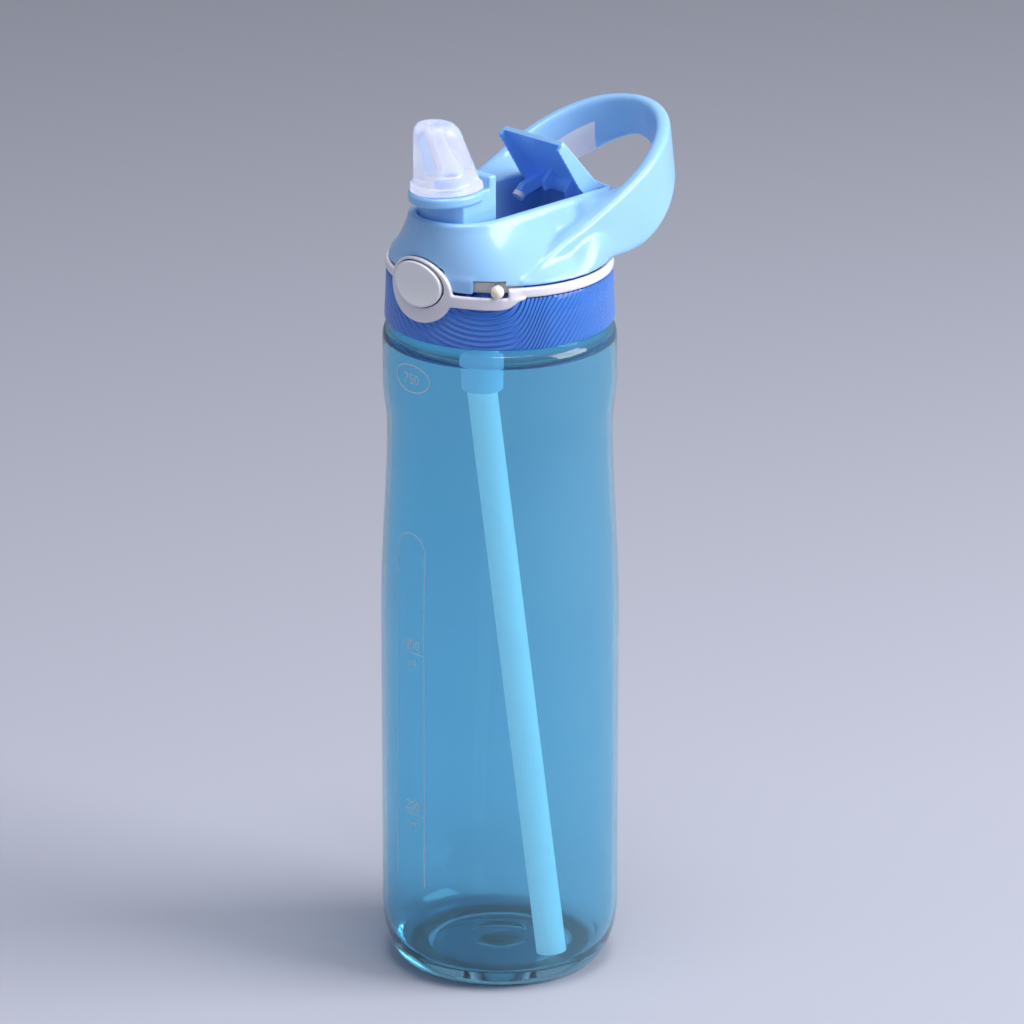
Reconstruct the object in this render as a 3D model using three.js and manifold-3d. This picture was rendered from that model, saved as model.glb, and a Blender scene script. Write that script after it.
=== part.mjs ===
// Sports squeeze bottle with a flip-up spout, a folding spout cover and a carry loop.
// Millimetres, +Z up. The origin is on the bottle's axis, on the plane it stands on.
// The push button faces -Y and the carry loop reaches towards +Y.
import * as THREE from "three";
import { ParametricGeometry } from "three/addons/geometries/ParametricGeometry.js";
import { mergeVertices } from "three/addons/utils/BufferGeometryUtils.js";
import Module from "manifold-3d";

const wasm = await Module();
wasm.setup();

// ---------------------------------------------------------------- driving sizes
const GAP = 0.3; // between two pieces that touch
const RUN = 0.25; // round a pin that something turns on

const bodyRadius = 37.5;
const shoulderHeight = 212.4;
const bodyWall = 1.6;
const waistDepth = 2.2; // how far the waist draws in
const waistDrop = 33; // waist below the shoulder
const flareDrop = 94; // full radius again below the shoulder
const baseCornerHeight = 20;
const baseCornerWidth = 8.5;
const footRingWidth = 6;
const footDishDepth = 1.8;
const footCentreRadius = 7; // flat disc in the middle of the base
const floorThickness = 5.9;
const floorDimpleRadius = 8.3;
const floorDimpleDepth = 1.2;

const neckInset = 5.5; // neck wall inside the body's radius
const neckWall = 1.4;
const neckHeight = 11.6;
const threadHeight = 1.0;
const threadWidth = 2.0;
const threadDrop = 2.6; // first thread below the neck's lip
const threadPitch = 4.2;
const threadCount = 2;
const threadClearance = 0.4;

const seamGap = 1.2; // dark line between shoulder and collar
const collarWall = 2.5;
const collarHeight = 16.4;
const collarTaper = 0.6;
const collarDeck = 2.0;

const gasketHeight = 1.5;
const gasketWidth = 3.0;

const trimHeight = 3.1;
const trimDepth = 2.0; // radial thickness of the trim band
const trimProud = 0.6; // bezel stands out from the collar by this much

const buttonHalfWidth = 10.2;
const buttonHalfHeight = 7.2;
const buttonTravel = 1.6;
const buttonDish = 1.1;
const buttonDepth = 2.4;
const buttonProud = 0.6; // button stands out from its bezel by this much
const catchHalfWidth = 1.6;
const catchHeight = 2.0;
const bezelRim = 3.2;
const bezelDrop = 2.0; // bezel's oval below the button's, so its rim is thicker below
const buttonRise = 2.1; // button centre above the trim band's foot

const lockAngle = 44; // degrees round from the button
const lockTravel = 9; // degrees towards the button
const lockSlotHeight = 4.8;
const lockBarThickness = 1.8;
const lockKnobRadius = 2.1;
const lockStemRadius = 1.3;
const lockSlotMargin = 4.2; // degrees of slot past the knob's travel
const lockPlateMargin = 9; // degrees of plate past the lock
const lockPlateDrop = 3.6; // plate below the trim band's foot

const domeHeight = 18.1;
const domeWall = 2.0;
const domeSlope = 1.15; // how soon the dome draws in towards its rim
const domeBackShoulder = 4.5; // it draws in later by this much at the back
const domeLipShare = 0.9; // share of the height where the rim's upright lip starts
const rimWidth = 2.9;
const wellHalfWidth = 14;
const wellWall = 1.6;
const backCorner = 1.2; // corner radius at the back of the well

const spoutHalfWidth = 10;
const spoutPivotSetback = 13.3; // pivot behind the dome's front
const spoutPivotHeight = 22.2; // above the collar's foot
const spoutBaseHeight = 24; // top of the spout base above its pivot
const spoutBackReach = 11; // back face behind the pivot
const spoutFlangeHeight = 3.4;
const spoutEarHeight = 4; // back plate above the top of the base
const spoutEarThickness = 3.6;
const spoutHeelAngle = 42; // degrees; the base is cut away behind the pivot below this
const spoutWellGap = 0.6; // between the spout base and the well's walls
const spoutDuctRadius = 3.4;
const drumPinWall = 1.6; // least wall of the drum round its pin
const nippleRadius = 5;
const nippleHeight = 4;
const sealHeight = 2.2;
const sealRadius = 5.6;
const pinRadius = 1.5;
const spoutSpringRadius = 3.1;
const coverSpringRadius = 2.5;
const springLength = 2.6;

const mouthBaseHalfX = 10.4;
const mouthBaseHalfY = 12.6;
const mouthTipHalfX = 8;
const mouthTipHalfY = 7.4;
const mouthBoreRadius = 2.6;
const mouthLipHeight = 2.6;
const mouthLipWidth = 0.9;
const mouthCrown = 1.6; // rounding of the tip
const mouthCrownShare = 0.85; // share of the height where the rounding starts

const coverHalfWidth = 13.2;
const coverThickness = 1.7;
const coverHingeGap = 0.4; // barrel ahead of the well's back wall
const coverHingeDrop = 2.4; // hinge below the rim
const coverLength = 25;
const coverOpenAngle = 47.6;
const coverSkirtWall = 1.3;
const coverSkirtDeep = 6.4;
const coverSkirtShallow = 2;
const coverBarrelRadius = 2.7;
const finSpread = 5;
const finOffset = 0.8; // the pair sits a little to the right
const finThickness = 1.2;
const finReach = 6.1; // front edge of the fins ahead of the hinge
const finDepth = 10;
const coverSweepGap = 0.9; // cover clear of the path that the spout's tip takes
const plugRadius = 2;
const plugHeight = 1.6;
const plugArmLength = 12.4;
const plugArmDrop = 61; // degrees below the closed cover

const loopHalfWidth = 29.2;
const loopThickness = 4.6;
const loopReach = 29; // loop's tip behind the dome
const loopBandHeight = 12.7;
const loopRise = 20; // loop's tip above the rim
const loopInnerReach = 27; // half length of the loop's opening
const insertLength = 24;
const insertDepth = 1.2;
const insertHeight = 9;

const strawRadius = 4.7;
const strawWall = 0.8;
const strawPortY = -7.6;
const strawTipClearance = 0.7;
const strawFloorClearance = 1.0;
const strawBendDrop = 1.5; // bend below the socket's foot
const strawTipRise = 0.7; // slanted end's middle above its lowest edge
const springRadius = 1.6; // the button's two springs
const springBore = 0.9;
const springDrop = 0.4; // springs below the button's centre
const spigotRadius = 3.9;
const spigotWall = 0.9;
const spigotLength = 8;
const socketWall = 1.5;
const socketLength = 20;

const panWall = 1.8;
const panDepth = 10; // floor's top below the collar's deck
const ventRadius = 2.3;
const ventWall = 1.1;
const ventOffsetX = -9.9;
const ventSetback = 4.8; // the tube rises ahead of its seat by this much
const ventHeadHeight = 6;

// ---------------------------------------------------------------- worked-out places
const lidZ = shoulderHeight + seamGap;
const neckRadius = bodyRadius - neckInset;
const neckTopZ = shoulderHeight + neckHeight;
const collarBore = neckRadius + threadHeight + threadClearance;
const collarRadius = collarBore + collarWall;
const collarTopRadius = collarRadius - collarTaper;
const collarTopZ = lidZ + collarHeight;
const deckFootZ = collarTopZ - collarDeck;
const trimZ = collarTopZ + GAP;
const trimTopZ = trimZ + trimHeight;
const bezelRadius = collarRadius + trimProud;
const buttonZ = trimZ + buttonRise - GAP;
const domeZ = trimTopZ + GAP;
const domeRadius = collarTopRadius - 0.4;
const rimZ = domeZ + domeHeight;
const rimHalfWidth = wellHalfWidth + rimWidth;
const wellRadius = wellHalfWidth + 1;
const domeFrontY = -(domeRadius - 1.8);
const domeBackY = domeRadius + 1.5;
const wellFrontY = domeFrontY + rimWidth;
const wellFootZ = trimZ + GAP;
const wellBackY = domeBackY - rimWidth;
const pivotY = -(domeRadius + 0.4 - spoutPivotSetback);
const pivotZ = lidZ + spoutPivotHeight;
const drumRadius = pivotY - wellFrontY - spoutWellGap;
const coverHingeY = wellBackY - coverBarrelRadius - coverHingeGap;
const coverHingeZ = rimZ - coverHingeDrop;
const drumLeast = pinRadius + drumPinWall;
// The drum stops where the well's round front leaves no room for that wall.
const drumRoomY = drumRadius - drumLeast;
const drumHalfWidth = Math.min(
  spoutHalfWidth, Math.sqrt(wellHalfWidth ** 2 - (wellHalfWidth - drumRoomY) ** 2));
const sealFootZ = pivotZ - drumRadius - GAP - sealHeight;
const catchX = 7;
const spoutSpringX = -9.4;
const coverSpringX = 8;
const catchZ = pivotZ;
const coverPinHalf = wellHalfWidth + wellWall + 0.6;
const mouthTipZ = pivotZ + (coverHingeY - finReach - GAP) - pivotY;
const spoutTopZ = pivotZ + spoutBaseHeight;
const panFloorZ = deckFootZ - panDepth;
const panRadius = neckRadius - neckWall - 3.4;
const deckBore = panRadius - panWall;
const gasketZ = neckTopZ + GAP;
const panFlangeZ = gasketZ + gasketHeight + GAP;
const panFlangeTopZ = deckFootZ - GAP;
const socketTopZ = panFloorZ - panWall - 4.5;
const strawTopZ = socketTopZ - spigotLength - 1;

const ROUND = 48;
const SMALL_ROUND = 16;

// ---------------------------------------------------------------- shape helpers
function signedVolume(position, index) {
  const a = new THREE.Vector3();
  const b = new THREE.Vector3();
  const c = new THREE.Vector3();
  let volume = 0;
  for (let i = 0; i < index.length; i += 3) {
    a.fromBufferAttribute(position, index[i]);
    b.fromBufferAttribute(position, index[i + 1]);
    c.fromBufferAttribute(position, index[i + 2]);
    volume += a.dot(b.cross(c)) / 6;
  }
  return volume;
}

// Turns a closed geometry into a solid whose faces point outwards.
function solid(geometry) {
  const bare = geometry.clone();
  bare.deleteAttribute("normal");
  bare.deleteAttribute("uv");
  const merged = mergeVertices(bare, 1e-4);
  const position = merged.getAttribute("position");
  const all = Array.from(merged.getIndex().array);
  const index = [];
  for (let i = 0; i < all.length; i += 3) {
    const [a, b, c] = [all[i], all[i + 1], all[i + 2]];
    if (a !== b && b !== c && c !== a) index.push(a, b, c);
  }
  if (signedVolume(position, index) < 0) index.reverse();
  return new wasm.Manifold(new wasm.Mesh({
    numProp: 3,
    vertProperties: new Float32Array(position.array),
    triVerts: new Uint32Array(index),
  }));
}

function geometryOf(manifold) {
  const mesh = manifold.getMesh();
  const geometry = new THREE.BufferGeometry();
  geometry.setAttribute("position", new THREE.BufferAttribute(mesh.vertProperties, 3));
  geometry.setIndex(new THREE.BufferAttribute(mesh.triVerts, 1));
  geometry.computeVertexNormals();
  return geometry;
}

// A body of revolution about Z from [radius, z] points.
function turned(points, sides = ROUND) {
  const profile = points.map(([r, z]) => new THREE.Vector2(r, z));
  return solid(new THREE.LatheGeometry(profile, sides).rotateX(Math.PI / 2));
}

function ringBody(inner, outer, z0, z1, sides = ROUND) {
  return turned([[inner, z0], [outer, z0], [outer, z1], [inner, z1], [inner, z0]], sides);
}

function rodZ(radius, x, y, z0, z1, sides = SMALL_ROUND) {
  const geometry = new THREE.CylinderGeometry(radius, radius, z1 - z0, sides);
  return solid(geometry.rotateX(Math.PI / 2).translate(x, y, (z0 + z1) / 2));
}

function rodX(radius, x0, x1, y, z, sides = SMALL_ROUND) {
  const geometry = new THREE.CylinderGeometry(radius, radius, x1 - x0, sides);
  return solid(geometry.rotateZ(Math.PI / 2).translate((x0 + x1) / 2, y, z));
}

function rodY(radius, x, y0, y1, z, sides = SMALL_ROUND) {
  const geometry = new THREE.CylinderGeometry(radius, radius, y1 - y0, sides);
  return solid(geometry.translate(x, (y0 + y1) / 2, z));
}

function block(x0, x1, y0, y1, z0, z1) {
  const geometry = new THREE.BoxGeometry(x1 - x0, y1 - y0, z1 - z0);
  return solid(geometry.translate((x0 + x1) / 2, (y0 + y1) / 2, (z0 + z1) / 2));
}

// An outline in the XY plane raised from z0 to z1.
function raised(shape, z0, z1, curveSegments = 16) {
  const options = { depth: z1 - z0, bevelEnabled: false, curveSegments };
  return solid(new THREE.ExtrudeGeometry(shape, options).translate(0, 0, z0));
}

// An outline of [y, z] points carried along X from x0 to x1.
function across(points, x0, x1) {
  const shape = new THREE.Shape(points.map(([y, z]) => new THREE.Vector2(y, z)));
  const geometry = new THREE.ExtrudeGeometry(shape, { depth: x1 - x0, bevelEnabled: false });
  const turn = new THREE.Matrix4().makeBasis(
    new THREE.Vector3(0, 1, 0), new THREE.Vector3(0, 0, 1), new THREE.Vector3(1, 0, 0));
  return solid(geometry.applyMatrix4(turn).translate(x0, 0, 0));
}

// An ellipse in the XZ plane carried along Y from y0 to y1.
function ovalAlongY(halfX, halfZ, z, y0, y1, sides = 40) {
  const geometry = new THREE.CylinderGeometry(1, 1, y1 - y0, sides);
  return solid(geometry.scale(halfX, 1, halfZ).translate(0, (y0 + y1) / 2, z));
}

function stadium(halfWidth, radius, frontY, backY) {
  const shape = new THREE.Shape();
  const corner = Math.min(halfWidth, radius);
  shape.moveTo(-halfWidth, frontY + corner);
  shape.absellipse(0, frontY + corner, halfWidth, corner, Math.PI, 2 * Math.PI, false, 0);
  shape.lineTo(halfWidth, backY - backCorner);
  shape.absarc(halfWidth - backCorner, backY - backCorner, backCorner, 0, Math.PI / 2, false);
  shape.absarc(backCorner - halfWidth, backY - backCorner, backCorner, Math.PI / 2, Math.PI, false);
  shape.closePath();
  return shape;
}

// Sector of a ring about Z; angles in degrees counted from -Y towards +X.
function arcBlock(inner, outer, fromAngle, toAngle, z0, z1) {
  const start = THREE.MathUtils.degToRad(fromAngle - 90);
  const end = THREE.MathUtils.degToRad(toAngle - 90);
  const shape = new THREE.Shape();
  shape.absarc(0, 0, outer, start, end, false);
  shape.absarc(0, 0, inner, end, start, true);
  shape.closePath();
  return raised(shape, z0, z1, 12);
}

function along(points, radius, sides, steps) {
  const path = new THREE.CatmullRomCurve3(points, false, "centripetal");
  const section = new THREE.Shape();
  section.absarc(0, 0, radius, 0, 2 * Math.PI, false);
  return solid(new THREE.ExtrudeGeometry(section, {
    steps, bevelEnabled: false, extrudePath: path, curveSegments: sides,
  }));
}

// ---------------------------------------------------------------- assembly
const bottle = new THREE.Group();

function add(name, body, color, roughness, metalness = 0, opacity = 1) {
  const material = new THREE.MeshStandardMaterial({
    color, roughness, metalness, opacity, transparent: opacity < 1,
  });
  const mesh = new THREE.Mesh(geometryOf(body), material);
  mesh.name = name;
  bottle.add(mesh);
  return mesh;
}

const SKY = 0x8fc4f4;
const DEEP_BLUE = 0x3f86e6;
const PEARL = 0xe9e6ea;
const CREAM = 0xf2ead8;
const TEAL = 0x5fb4d8;
const MILKY = 0xd6dcf2;
const STEEL = 0xb8bcc2;

// ---------------------------------------------------------------- bottle
// Outer radius of the body, from the base corner's top up to the shoulder.
function bodyRadiusAt(z) {
  const waistZ = shoulderHeight - waistDrop;
  const flareZ = shoulderHeight - flareDrop;
  const bandZ = waistZ + 14;
  const ease = (t) => t * t * (3 - 2 * t);
  if (z <= flareZ) return bodyRadius;
  if (z <= waistZ) return bodyRadius - waistDepth * ease((z - flareZ) / (waistZ - flareZ));
  if (z <= bandZ) return bodyRadius - waistDepth + 1.3 * ease((z - waistZ) / (bandZ - waistZ));
  return bodyRadius - waistDepth + 1.3;
}

function bottleBody() {
  const footOuter = bodyRadius - baseCornerWidth;
  const footInner = footOuter - footRingWidth;
  const outside = [[footOuter, 0]];
  for (let i = 1; i <= 6; i += 1) {
    const a = (i / 6) * Math.PI / 2;
    outside.push([footOuter + baseCornerWidth * Math.sin(a), baseCornerHeight * (1 - Math.cos(a))]);
  }
  const steps = 8;
  const shoulderRound = 5;
  for (let i = 0; i <= steps; i += 1) {
    const start = shoulderHeight - flareDrop;
    const z = start + (shoulderHeight - shoulderRound - start) * (i / steps);
    outside.push([bodyRadiusAt(z), z]);
  }
  const shoulderOuter = bodyRadiusAt(shoulderHeight);
  const shoulderWidth = shoulderOuter - neckRadius;
  for (let i = 1; i <= 5; i += 1) {
    const a = (i / 5) * Math.PI / 2;
    outside.push([
      neckRadius + shoulderWidth * Math.cos(a) ** 0.6,
      shoulderHeight - shoulderRound * (1 - Math.sin(a)),
    ]);
  }
  outside.push([neckRadius, shoulderHeight + 0.2]);
  for (let i = threadCount - 1; i >= 0; i -= 1) {
    const z = neckTopZ - threadDrop - i * threadPitch;
    outside.push([neckRadius, z - threadWidth / 2]);
    outside.push([neckRadius + threadHeight, z - threadWidth / 4]);
    outside.push([neckRadius + threadHeight, z + threadWidth / 4]);
    outside.push([neckRadius, z + threadWidth / 2]);
  }
  outside.push([neckRadius, neckTopZ]);
  const neckInner = neckRadius - neckWall;
  const inside = [[neckInner, neckTopZ], [neckInner, shoulderHeight - 1.5]];
  for (let i = steps; i >= 0; i -= 1) {
    const start = shoulderHeight - flareDrop;
    const z = start + (shoulderHeight - shoulderRound - start) * (i / steps);
    inside.push([bodyRadiusAt(z) - bodyWall, z]);
  }
  const innerCorner = baseCornerHeight - floorThickness;
  const floorEdge = bodyRadius - bodyWall - baseCornerWidth + 3.9;
  for (let i = 0; i <= 4; i += 1) {
    const a = (i / 4) * Math.PI / 2;
    inside.push([
      floorEdge + (bodyRadius - bodyWall - floorEdge) * Math.cos(a),
      floorThickness + innerCorner * (1 - Math.sin(a)),
    ]);
  }
  inside.push([floorDimpleRadius + 1.5, floorThickness]);
  inside.push([floorDimpleRadius, floorThickness - floorDimpleDepth]);
  inside.push([0, floorThickness - floorDimpleDepth]);
  const under = [
    [0, 0], [footCentreRadius, 0], [footCentreRadius + 2, footDishDepth],
    [footInner - 2, footDishDepth], [footInner, 0],
  ];
  return turned([...under, ...outside, ...inside]);
}

add("bottle_body", bottleBody(), TEAL, 0.12, 0, 0.4);

// ---------------------------------------------------------------- bezel outlines
// Flat outline of the button bezel and the lock's surround, grown by an allowance,
// kept to the band of radii that the piece occupies.
function bezelPrism(grow) {
  const surround = ovalAlongY(
    buttonHalfWidth + bezelRim + grow, buttonHalfHeight + bezelRim + grow,
    buttonZ - bezelDrop, -bezelRadius - 3, -neckRadius * 0.75);
  const reach = lockAngle + lockPlateMargin + grow;
  const plate = arcBlock(
    neckRadius * 0.9, bezelRadius + 3, 8, reach, trimZ - lockPlateDrop - grow, trimZ + GAP + grow);
  const end = arcBlock(
    neckRadius * 0.9, bezelRadius + 3, lockAngle + lockSlotMargin - 1 - grow, reach,
    trimZ - GAP, trimTopZ + grow);
  return surround.add(plate).add(end);
}

function bezelShell(innerRadius, outerRadius, grow) {
  const floor = trimZ - 20;
  const shell = ringBody(innerRadius, outerRadius, floor, trimTopZ + 12);
  return shell.intersect(bezelPrism(grow));
}

const bezelInner = collarBore + 1.1;
const bezelSeat = bezelInner - GAP;
const buttonHole = ovalAlongY(
  buttonHalfWidth + GAP, buttonHalfHeight + GAP, buttonZ, -bezelRadius - 5, -neckRadius * 0.6);
const lockSlot = arcBlock(
  neckRadius * 0.8, bezelRadius + 3, lockAngle - lockTravel - lockSlotMargin,
  lockAngle + lockSlotMargin, trimZ + GAP, trimZ + GAP + lockSlotHeight);
// The dome comes down to the lock's plate between the button and the lock.
const domeTongue = arcBlock(
  domeRadius - domeWall, domeRadius, 10, lockAngle - lockTravel - lockSlotMargin + 1,
  trimZ + 2 * GAP, domeZ + 1);

// ---------------------------------------------------------------- collar, gasket, pan
function lidCollar() {
  const skirt = turned([
    [collarBore, lidZ], [collarRadius, lidZ], [collarRadius, lidZ + 2],
    [collarTopRadius, collarTopZ], [deckBore, collarTopZ], [deckBore, deckFootZ],
    [collarBore, deckFootZ], [collarBore, lidZ],
  ]);
  const pocket = bezelShell(bezelSeat, bezelRadius + 4, GAP);
  const drumRoom = rodX(drumRadius + spoutWellGap, -spoutHalfWidth - 1, spoutHalfWidth + 1, pivotY, pivotZ);
  return skirt.subtract(pocket).subtract(buttonHole).subtract(drumRoom);
}

add("lid_collar", lidCollar(), DEEP_BLUE, 0.35);

add("lid_gasket", ringBody(
  neckRadius + 0.6 - gasketWidth, neckRadius + 0.6, gasketZ, gasketZ + gasketHeight),
MILKY, 0.6);

function lidPan() {
  const footZ = panFloorZ - panWall;
  let pan = turned([
    [0, footZ], [panRadius, footZ], [panRadius, panFlangeZ], [collarBore - GAP, panFlangeZ],
    [collarBore - GAP, panFlangeTopZ], [panRadius - panWall, panFlangeTopZ],
    [panRadius - panWall, panFloorZ], [0, panFloorZ],
  ]);
  const duct = block(-5.4, 5.4, pivotY - 5.4, strawPortY + 5.4, socketTopZ, footZ + 0.1);
  pan = pan.add(duct);
  pan = pan.add(rodZ(6.4, 0, pivotY, footZ, sealFootZ - GAP));
  pan = pan.add(rodZ(spigotRadius, 0, strawPortY, socketTopZ - spigotLength, socketTopZ + 0.1));
  const ventTubeY = ventY - ventSetback;
  pan = pan.add(rodZ(ventRadius, ventOffsetX, ventTubeY, panFloorZ - 0.1, ventTopZ - ventWall));
  pan = pan.add(ventPrism(ventRadius, ventTopZ - ventHeadHeight, ventTopZ));
  pan = pan.subtract(rodZ(
    spigotRadius - spigotWall, 0, strawPortY, socketTopZ - spigotLength - 1, footZ - 1.2));
  pan = pan.subtract(block(-3, 3, pivotY - 3, strawPortY + 3, socketTopZ + 1.2, footZ - 1.2));
  pan = pan.subtract(rodZ(3, 0, pivotY, footZ - 1.4, pivotZ));
  pan = pan.subtract(rodZ(sealRadius + GAP, 0, pivotY, sealFootZ - GAP, pivotZ));
  const ventBore = ventRadius - ventWall;
  pan = pan.subtract(rodZ(ventBore, ventOffsetX, ventTubeY, footZ - 1, ventTopZ - 2 * ventWall));
  pan = pan.subtract(ventPrism(
    ventBore, ventTopZ - ventHeadHeight + ventWall, ventTopZ - ventWall));
  pan = pan.subtract(rodZ(ventBore, ventOffsetX, ventY, ventTopZ - 2 * ventWall, rimZ));
  const buttonRoom = ovalAlongY(buttonHalfWidth + 1, buttonHalfHeight + 1, buttonZ,
    -bezelRadius, -(collarRadius - buttonDepth - buttonTravel - 0.6));
  return pan.subtract(buttonRoom);
}

// The vent tube stands where the plug on the cover's arm comes down.
const plugAngle = THREE.MathUtils.degToRad(180 + plugArmDrop);
const ventY = coverHingeY + plugArmLength * Math.cos(plugAngle);
const plugZ = coverHingeZ + plugArmLength * Math.sin(plugAngle);
const plugFootZ = plugZ - plugHeight / 2;
const ventTopZ = plugFootZ - GAP;

// Round-ended bar over the vent tube and its seat, drawn in to a given half width.
function ventPrism(half, z0, z1) {
  const shape = new THREE.Shape();
  shape.absarc(ventOffsetX, ventY, half, 0, Math.PI, false);
  shape.absarc(ventOffsetX, ventY - ventSetback, half, Math.PI, 2 * Math.PI, false);
  shape.closePath();
  return raised(shape, z0, z1, 8);
}

add("lid_pan", lidPan(), DEEP_BLUE, 0.4);

// ---------------------------------------------------------------- trim band
function trimBand() {
  const band = ringBody(collarTopRadius - trimDepth, collarTopRadius + 0.1, trimZ, trimTopZ);
  const bezel = bezelShell(bezelInner, bezelRadius, 0);
  const notch = arcBlock(
    neckRadius * 0.9, bezelRadius + 3, 10, lockAngle - lockTravel, trimZ + GAP, trimTopZ + 1)
    .subtract(bezelShell(neckRadius * 0.9, bezelRadius + 3, 0));
  return band.subtract(notch).add(bezel).subtract(buttonHole).subtract(lockSlot);
}

add("trim_band", trimBand(), PEARL, 0.3);

// ---------------------------------------------------------------- dome with its loop
// Distance from the axis to the rim's outline: straight sides, a round front, and a back
// that follows the round of the lid.
function rimReach(c, s, inset) {
  const side = (rimHalfWidth - inset) / Math.max(Math.abs(c), 1e-6);
  if (s >= 0) return Math.min(side, domeBackY - inset);
  const half = rimHalfWidth - inset;
  const centre = -(domeFrontY + rimHalfWidth);
  if (side * -s <= centre) return side;
  return centre * -s + Math.sqrt(Math.max(0, half * half - (centre * c) ** 2));
}

// Distance from the axis to the dome's outline at height share t.
function domeReach(angle, t, inset) {
  const oval = rimReach(Math.cos(angle), Math.sin(angle), inset);
  const back = THREE.MathUtils.smoothstep(Math.sin(angle), 0, 0.75);
  const ease = Math.min(1, t / domeLipShare) ** (domeSlope + domeBackShoulder * back);
  return THREE.MathUtils.lerp(domeRadius - inset, oval, ease);
}

// The solid dome between two heights, drawn in by an inset.
function domeSolid(inset, z0, z1) {
  const rows = 10;
  const surface = (u, v, target) => {
    const angle = u * 2 * Math.PI;
    const row = v * (rows + 2);
    const t = THREE.MathUtils.clamp((row - 1) / rows, 0, 1);
    const reach = domeReach(angle, t, inset);
    const closed = row < 0.5 || row > rows + 1.5;
    const z = z0 + (z1 - z0) * t;
    if (closed) target.set(0, 0, z);
    else target.set(reach * Math.cos(angle), reach * Math.sin(angle), z);
  };
  return solid(new ParametricGeometry(surface, ROUND, rows + 2));
}

function loopPlan(halfWidth, backY) {
  const shape = new THREE.Shape();
  const centreY = backY - halfWidth * 1.12;
  shape.moveTo(-halfWidth, -6);
  shape.lineTo(halfWidth, -6);
  shape.lineTo(halfWidth, centreY);
  shape.absellipse(0, centreY, halfWidth, backY - centreY, 0, Math.PI, false, 0);
  shape.closePath();
  return shape;
}

const loopBackY = domeBackY + loopReach;
const loopTopZ = rimZ + loopRise;

// Side view of the loop: it leaves the dome's flank and narrows towards its tip.
const loopSide = [
  [-5, domeZ], [domeRadius - 4, domeZ], [loopBackY - 18, domeZ + 9],
  [loopBackY - 3, loopTopZ - loopBandHeight - 1.5], [loopBackY + 1, loopTopZ - loopBandHeight],
  [loopBackY + 1, loopTopZ], [loopBackY - 15, loopTopZ - 6], [loopBackY - 28, loopTopZ - 13],
  [loopBackY - 40, rimZ + 2], [loopBackY - 49, rimZ - 2], [loopBackY - 58, rimZ - 5.5],
  [-5, rimZ - 11],
];

function lidShell() {
  const plan = raised(loopPlan(loopHalfWidth, loopBackY), domeZ - 1, rimZ + 30);
  const inner = new THREE.Shape();
  const innerBack = loopBackY - loopThickness;
  const innerHalf = loopHalfWidth - loopThickness;
  inner.absellipse(0, innerBack - loopInnerReach, innerHalf, loopInnerReach, 0, 2 * Math.PI, false, 0);
  const opening = raised(inner, domeZ - 2, rimZ + 31, 20);
  const loop = plan.subtract(opening).intersect(across(loopSide, -60, 60));
  const dome = domeSolid(0, domeZ, rimZ);
  const pit = stadium(wellHalfWidth, wellRadius, wellFrontY, wellBackY);
  const wellShape = stadium(
    wellHalfWidth + wellWall, wellRadius + wellWall, wellFrontY - wellWall, wellBackY + wellWall);
  const wellOuter = raised(wellShape, domeZ - 2, rimZ + 1);
  const cavity = domeSolid(domeWall, domeZ - 1, rimZ - domeWall).subtract(wellOuter);
  const wellSides = raised(wellShape, wellFootZ, domeZ + 1).intersect(
    block(-40, 40, -60, pivotY + spoutBackReach, wellFootZ - 1, domeZ + 2));
  let shell = dome.add(loop).subtract(cavity).add(wellSides).add(domeTongue);
  shell = shell.subtract(raised(pit, wellFootZ - 1, rimZ + 1));
  for (const side of [-1, 1]) shell = shell.subtract(loopInnerSkin(side, -4, insertDepth, 0));
  const buttonRoom = ovalAlongY(
    buttonHalfWidth + 1, buttonHalfHeight + 1, buttonZ, -bezelRadius - 5, pivotY)
    .subtract(raised(wellShape, wellFootZ - 2, rimZ));
  shell = shell.subtract(buttonRoom).subtract(bezelShell(bezelSeat - 1, bezelRadius + 4, GAP));
  shell = shell.subtract(rodX(pinRadius + GAP, -40, 40, pivotY, pivotZ).intersect(
    block(-wellHalfWidth - wellWall - 1.4, wellHalfWidth + wellWall + 1.4, -60, 0, 0, rimZ)));
  shell = shell.subtract(rodX(
    pinRadius + GAP, -coverPinHalf - GAP, coverPinHalf + GAP, coverHingeY, coverHingeZ));
  shell = shell.subtract(block(
    catchX - catchHalfWidth - GAP, catchX + catchHalfWidth + GAP, -60, pivotY,
    catchZ - catchHeight / 2 - GAP, catchZ + catchHeight / 2 + GAP));
  return shell.subtract(lockSlot).subtract(lockRoom());
}

// The skin of the loop's inner face on one arm, between two depths below that face.
function loopInnerSkin(side, fromDepth, toDepth, shrink) {
  const innerHalf = loopHalfWidth - loopThickness;
  const centreY = loopBackY - loopThickness - loopInnerReach;
  const outline = (depth) => {
    const shape = new THREE.Shape();
    shape.absellipse(0, centreY, innerHalf + depth, loopInnerReach + depth, 0, 2 * Math.PI, false, 0);
    return shape;
  };
  const outer = raised(outline(toDepth), domeZ, rimZ + 30, 20);
  const bore = raised(outline(fromDepth), domeZ - 1, rimZ + 31, 20);
  const front = domeBackY - 5 + shrink;
  const back = domeBackY - 5 + insertLength - shrink;
  const low = (y) => rimZ - 1.5 + 0.42 * (y - domeBackY + 5) + shrink;
  const tall = insertHeight - 2 * shrink;
  const window = across(
    [[front, low(front)], [back, low(back)], [back, low(back) + tall], [front, low(front) + tall]],
    side > 0 ? 6 : -60, side > 0 ? 60 : -6);
  return outer.subtract(bore).intersect(window);
}

// Space behind the wall that the lock's bar slides in.
function lockRoom() {
  const outer = collarTopRadius - trimDepth - 1.0;
  return arcBlock(
    outer - lockBarThickness - GAP, outer + GAP, lockAngle - lockTravel - 20, lockAngle + 16,
    trimZ, trimZ + GAP + 0.4 + lockSlotHeight);
}

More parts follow.
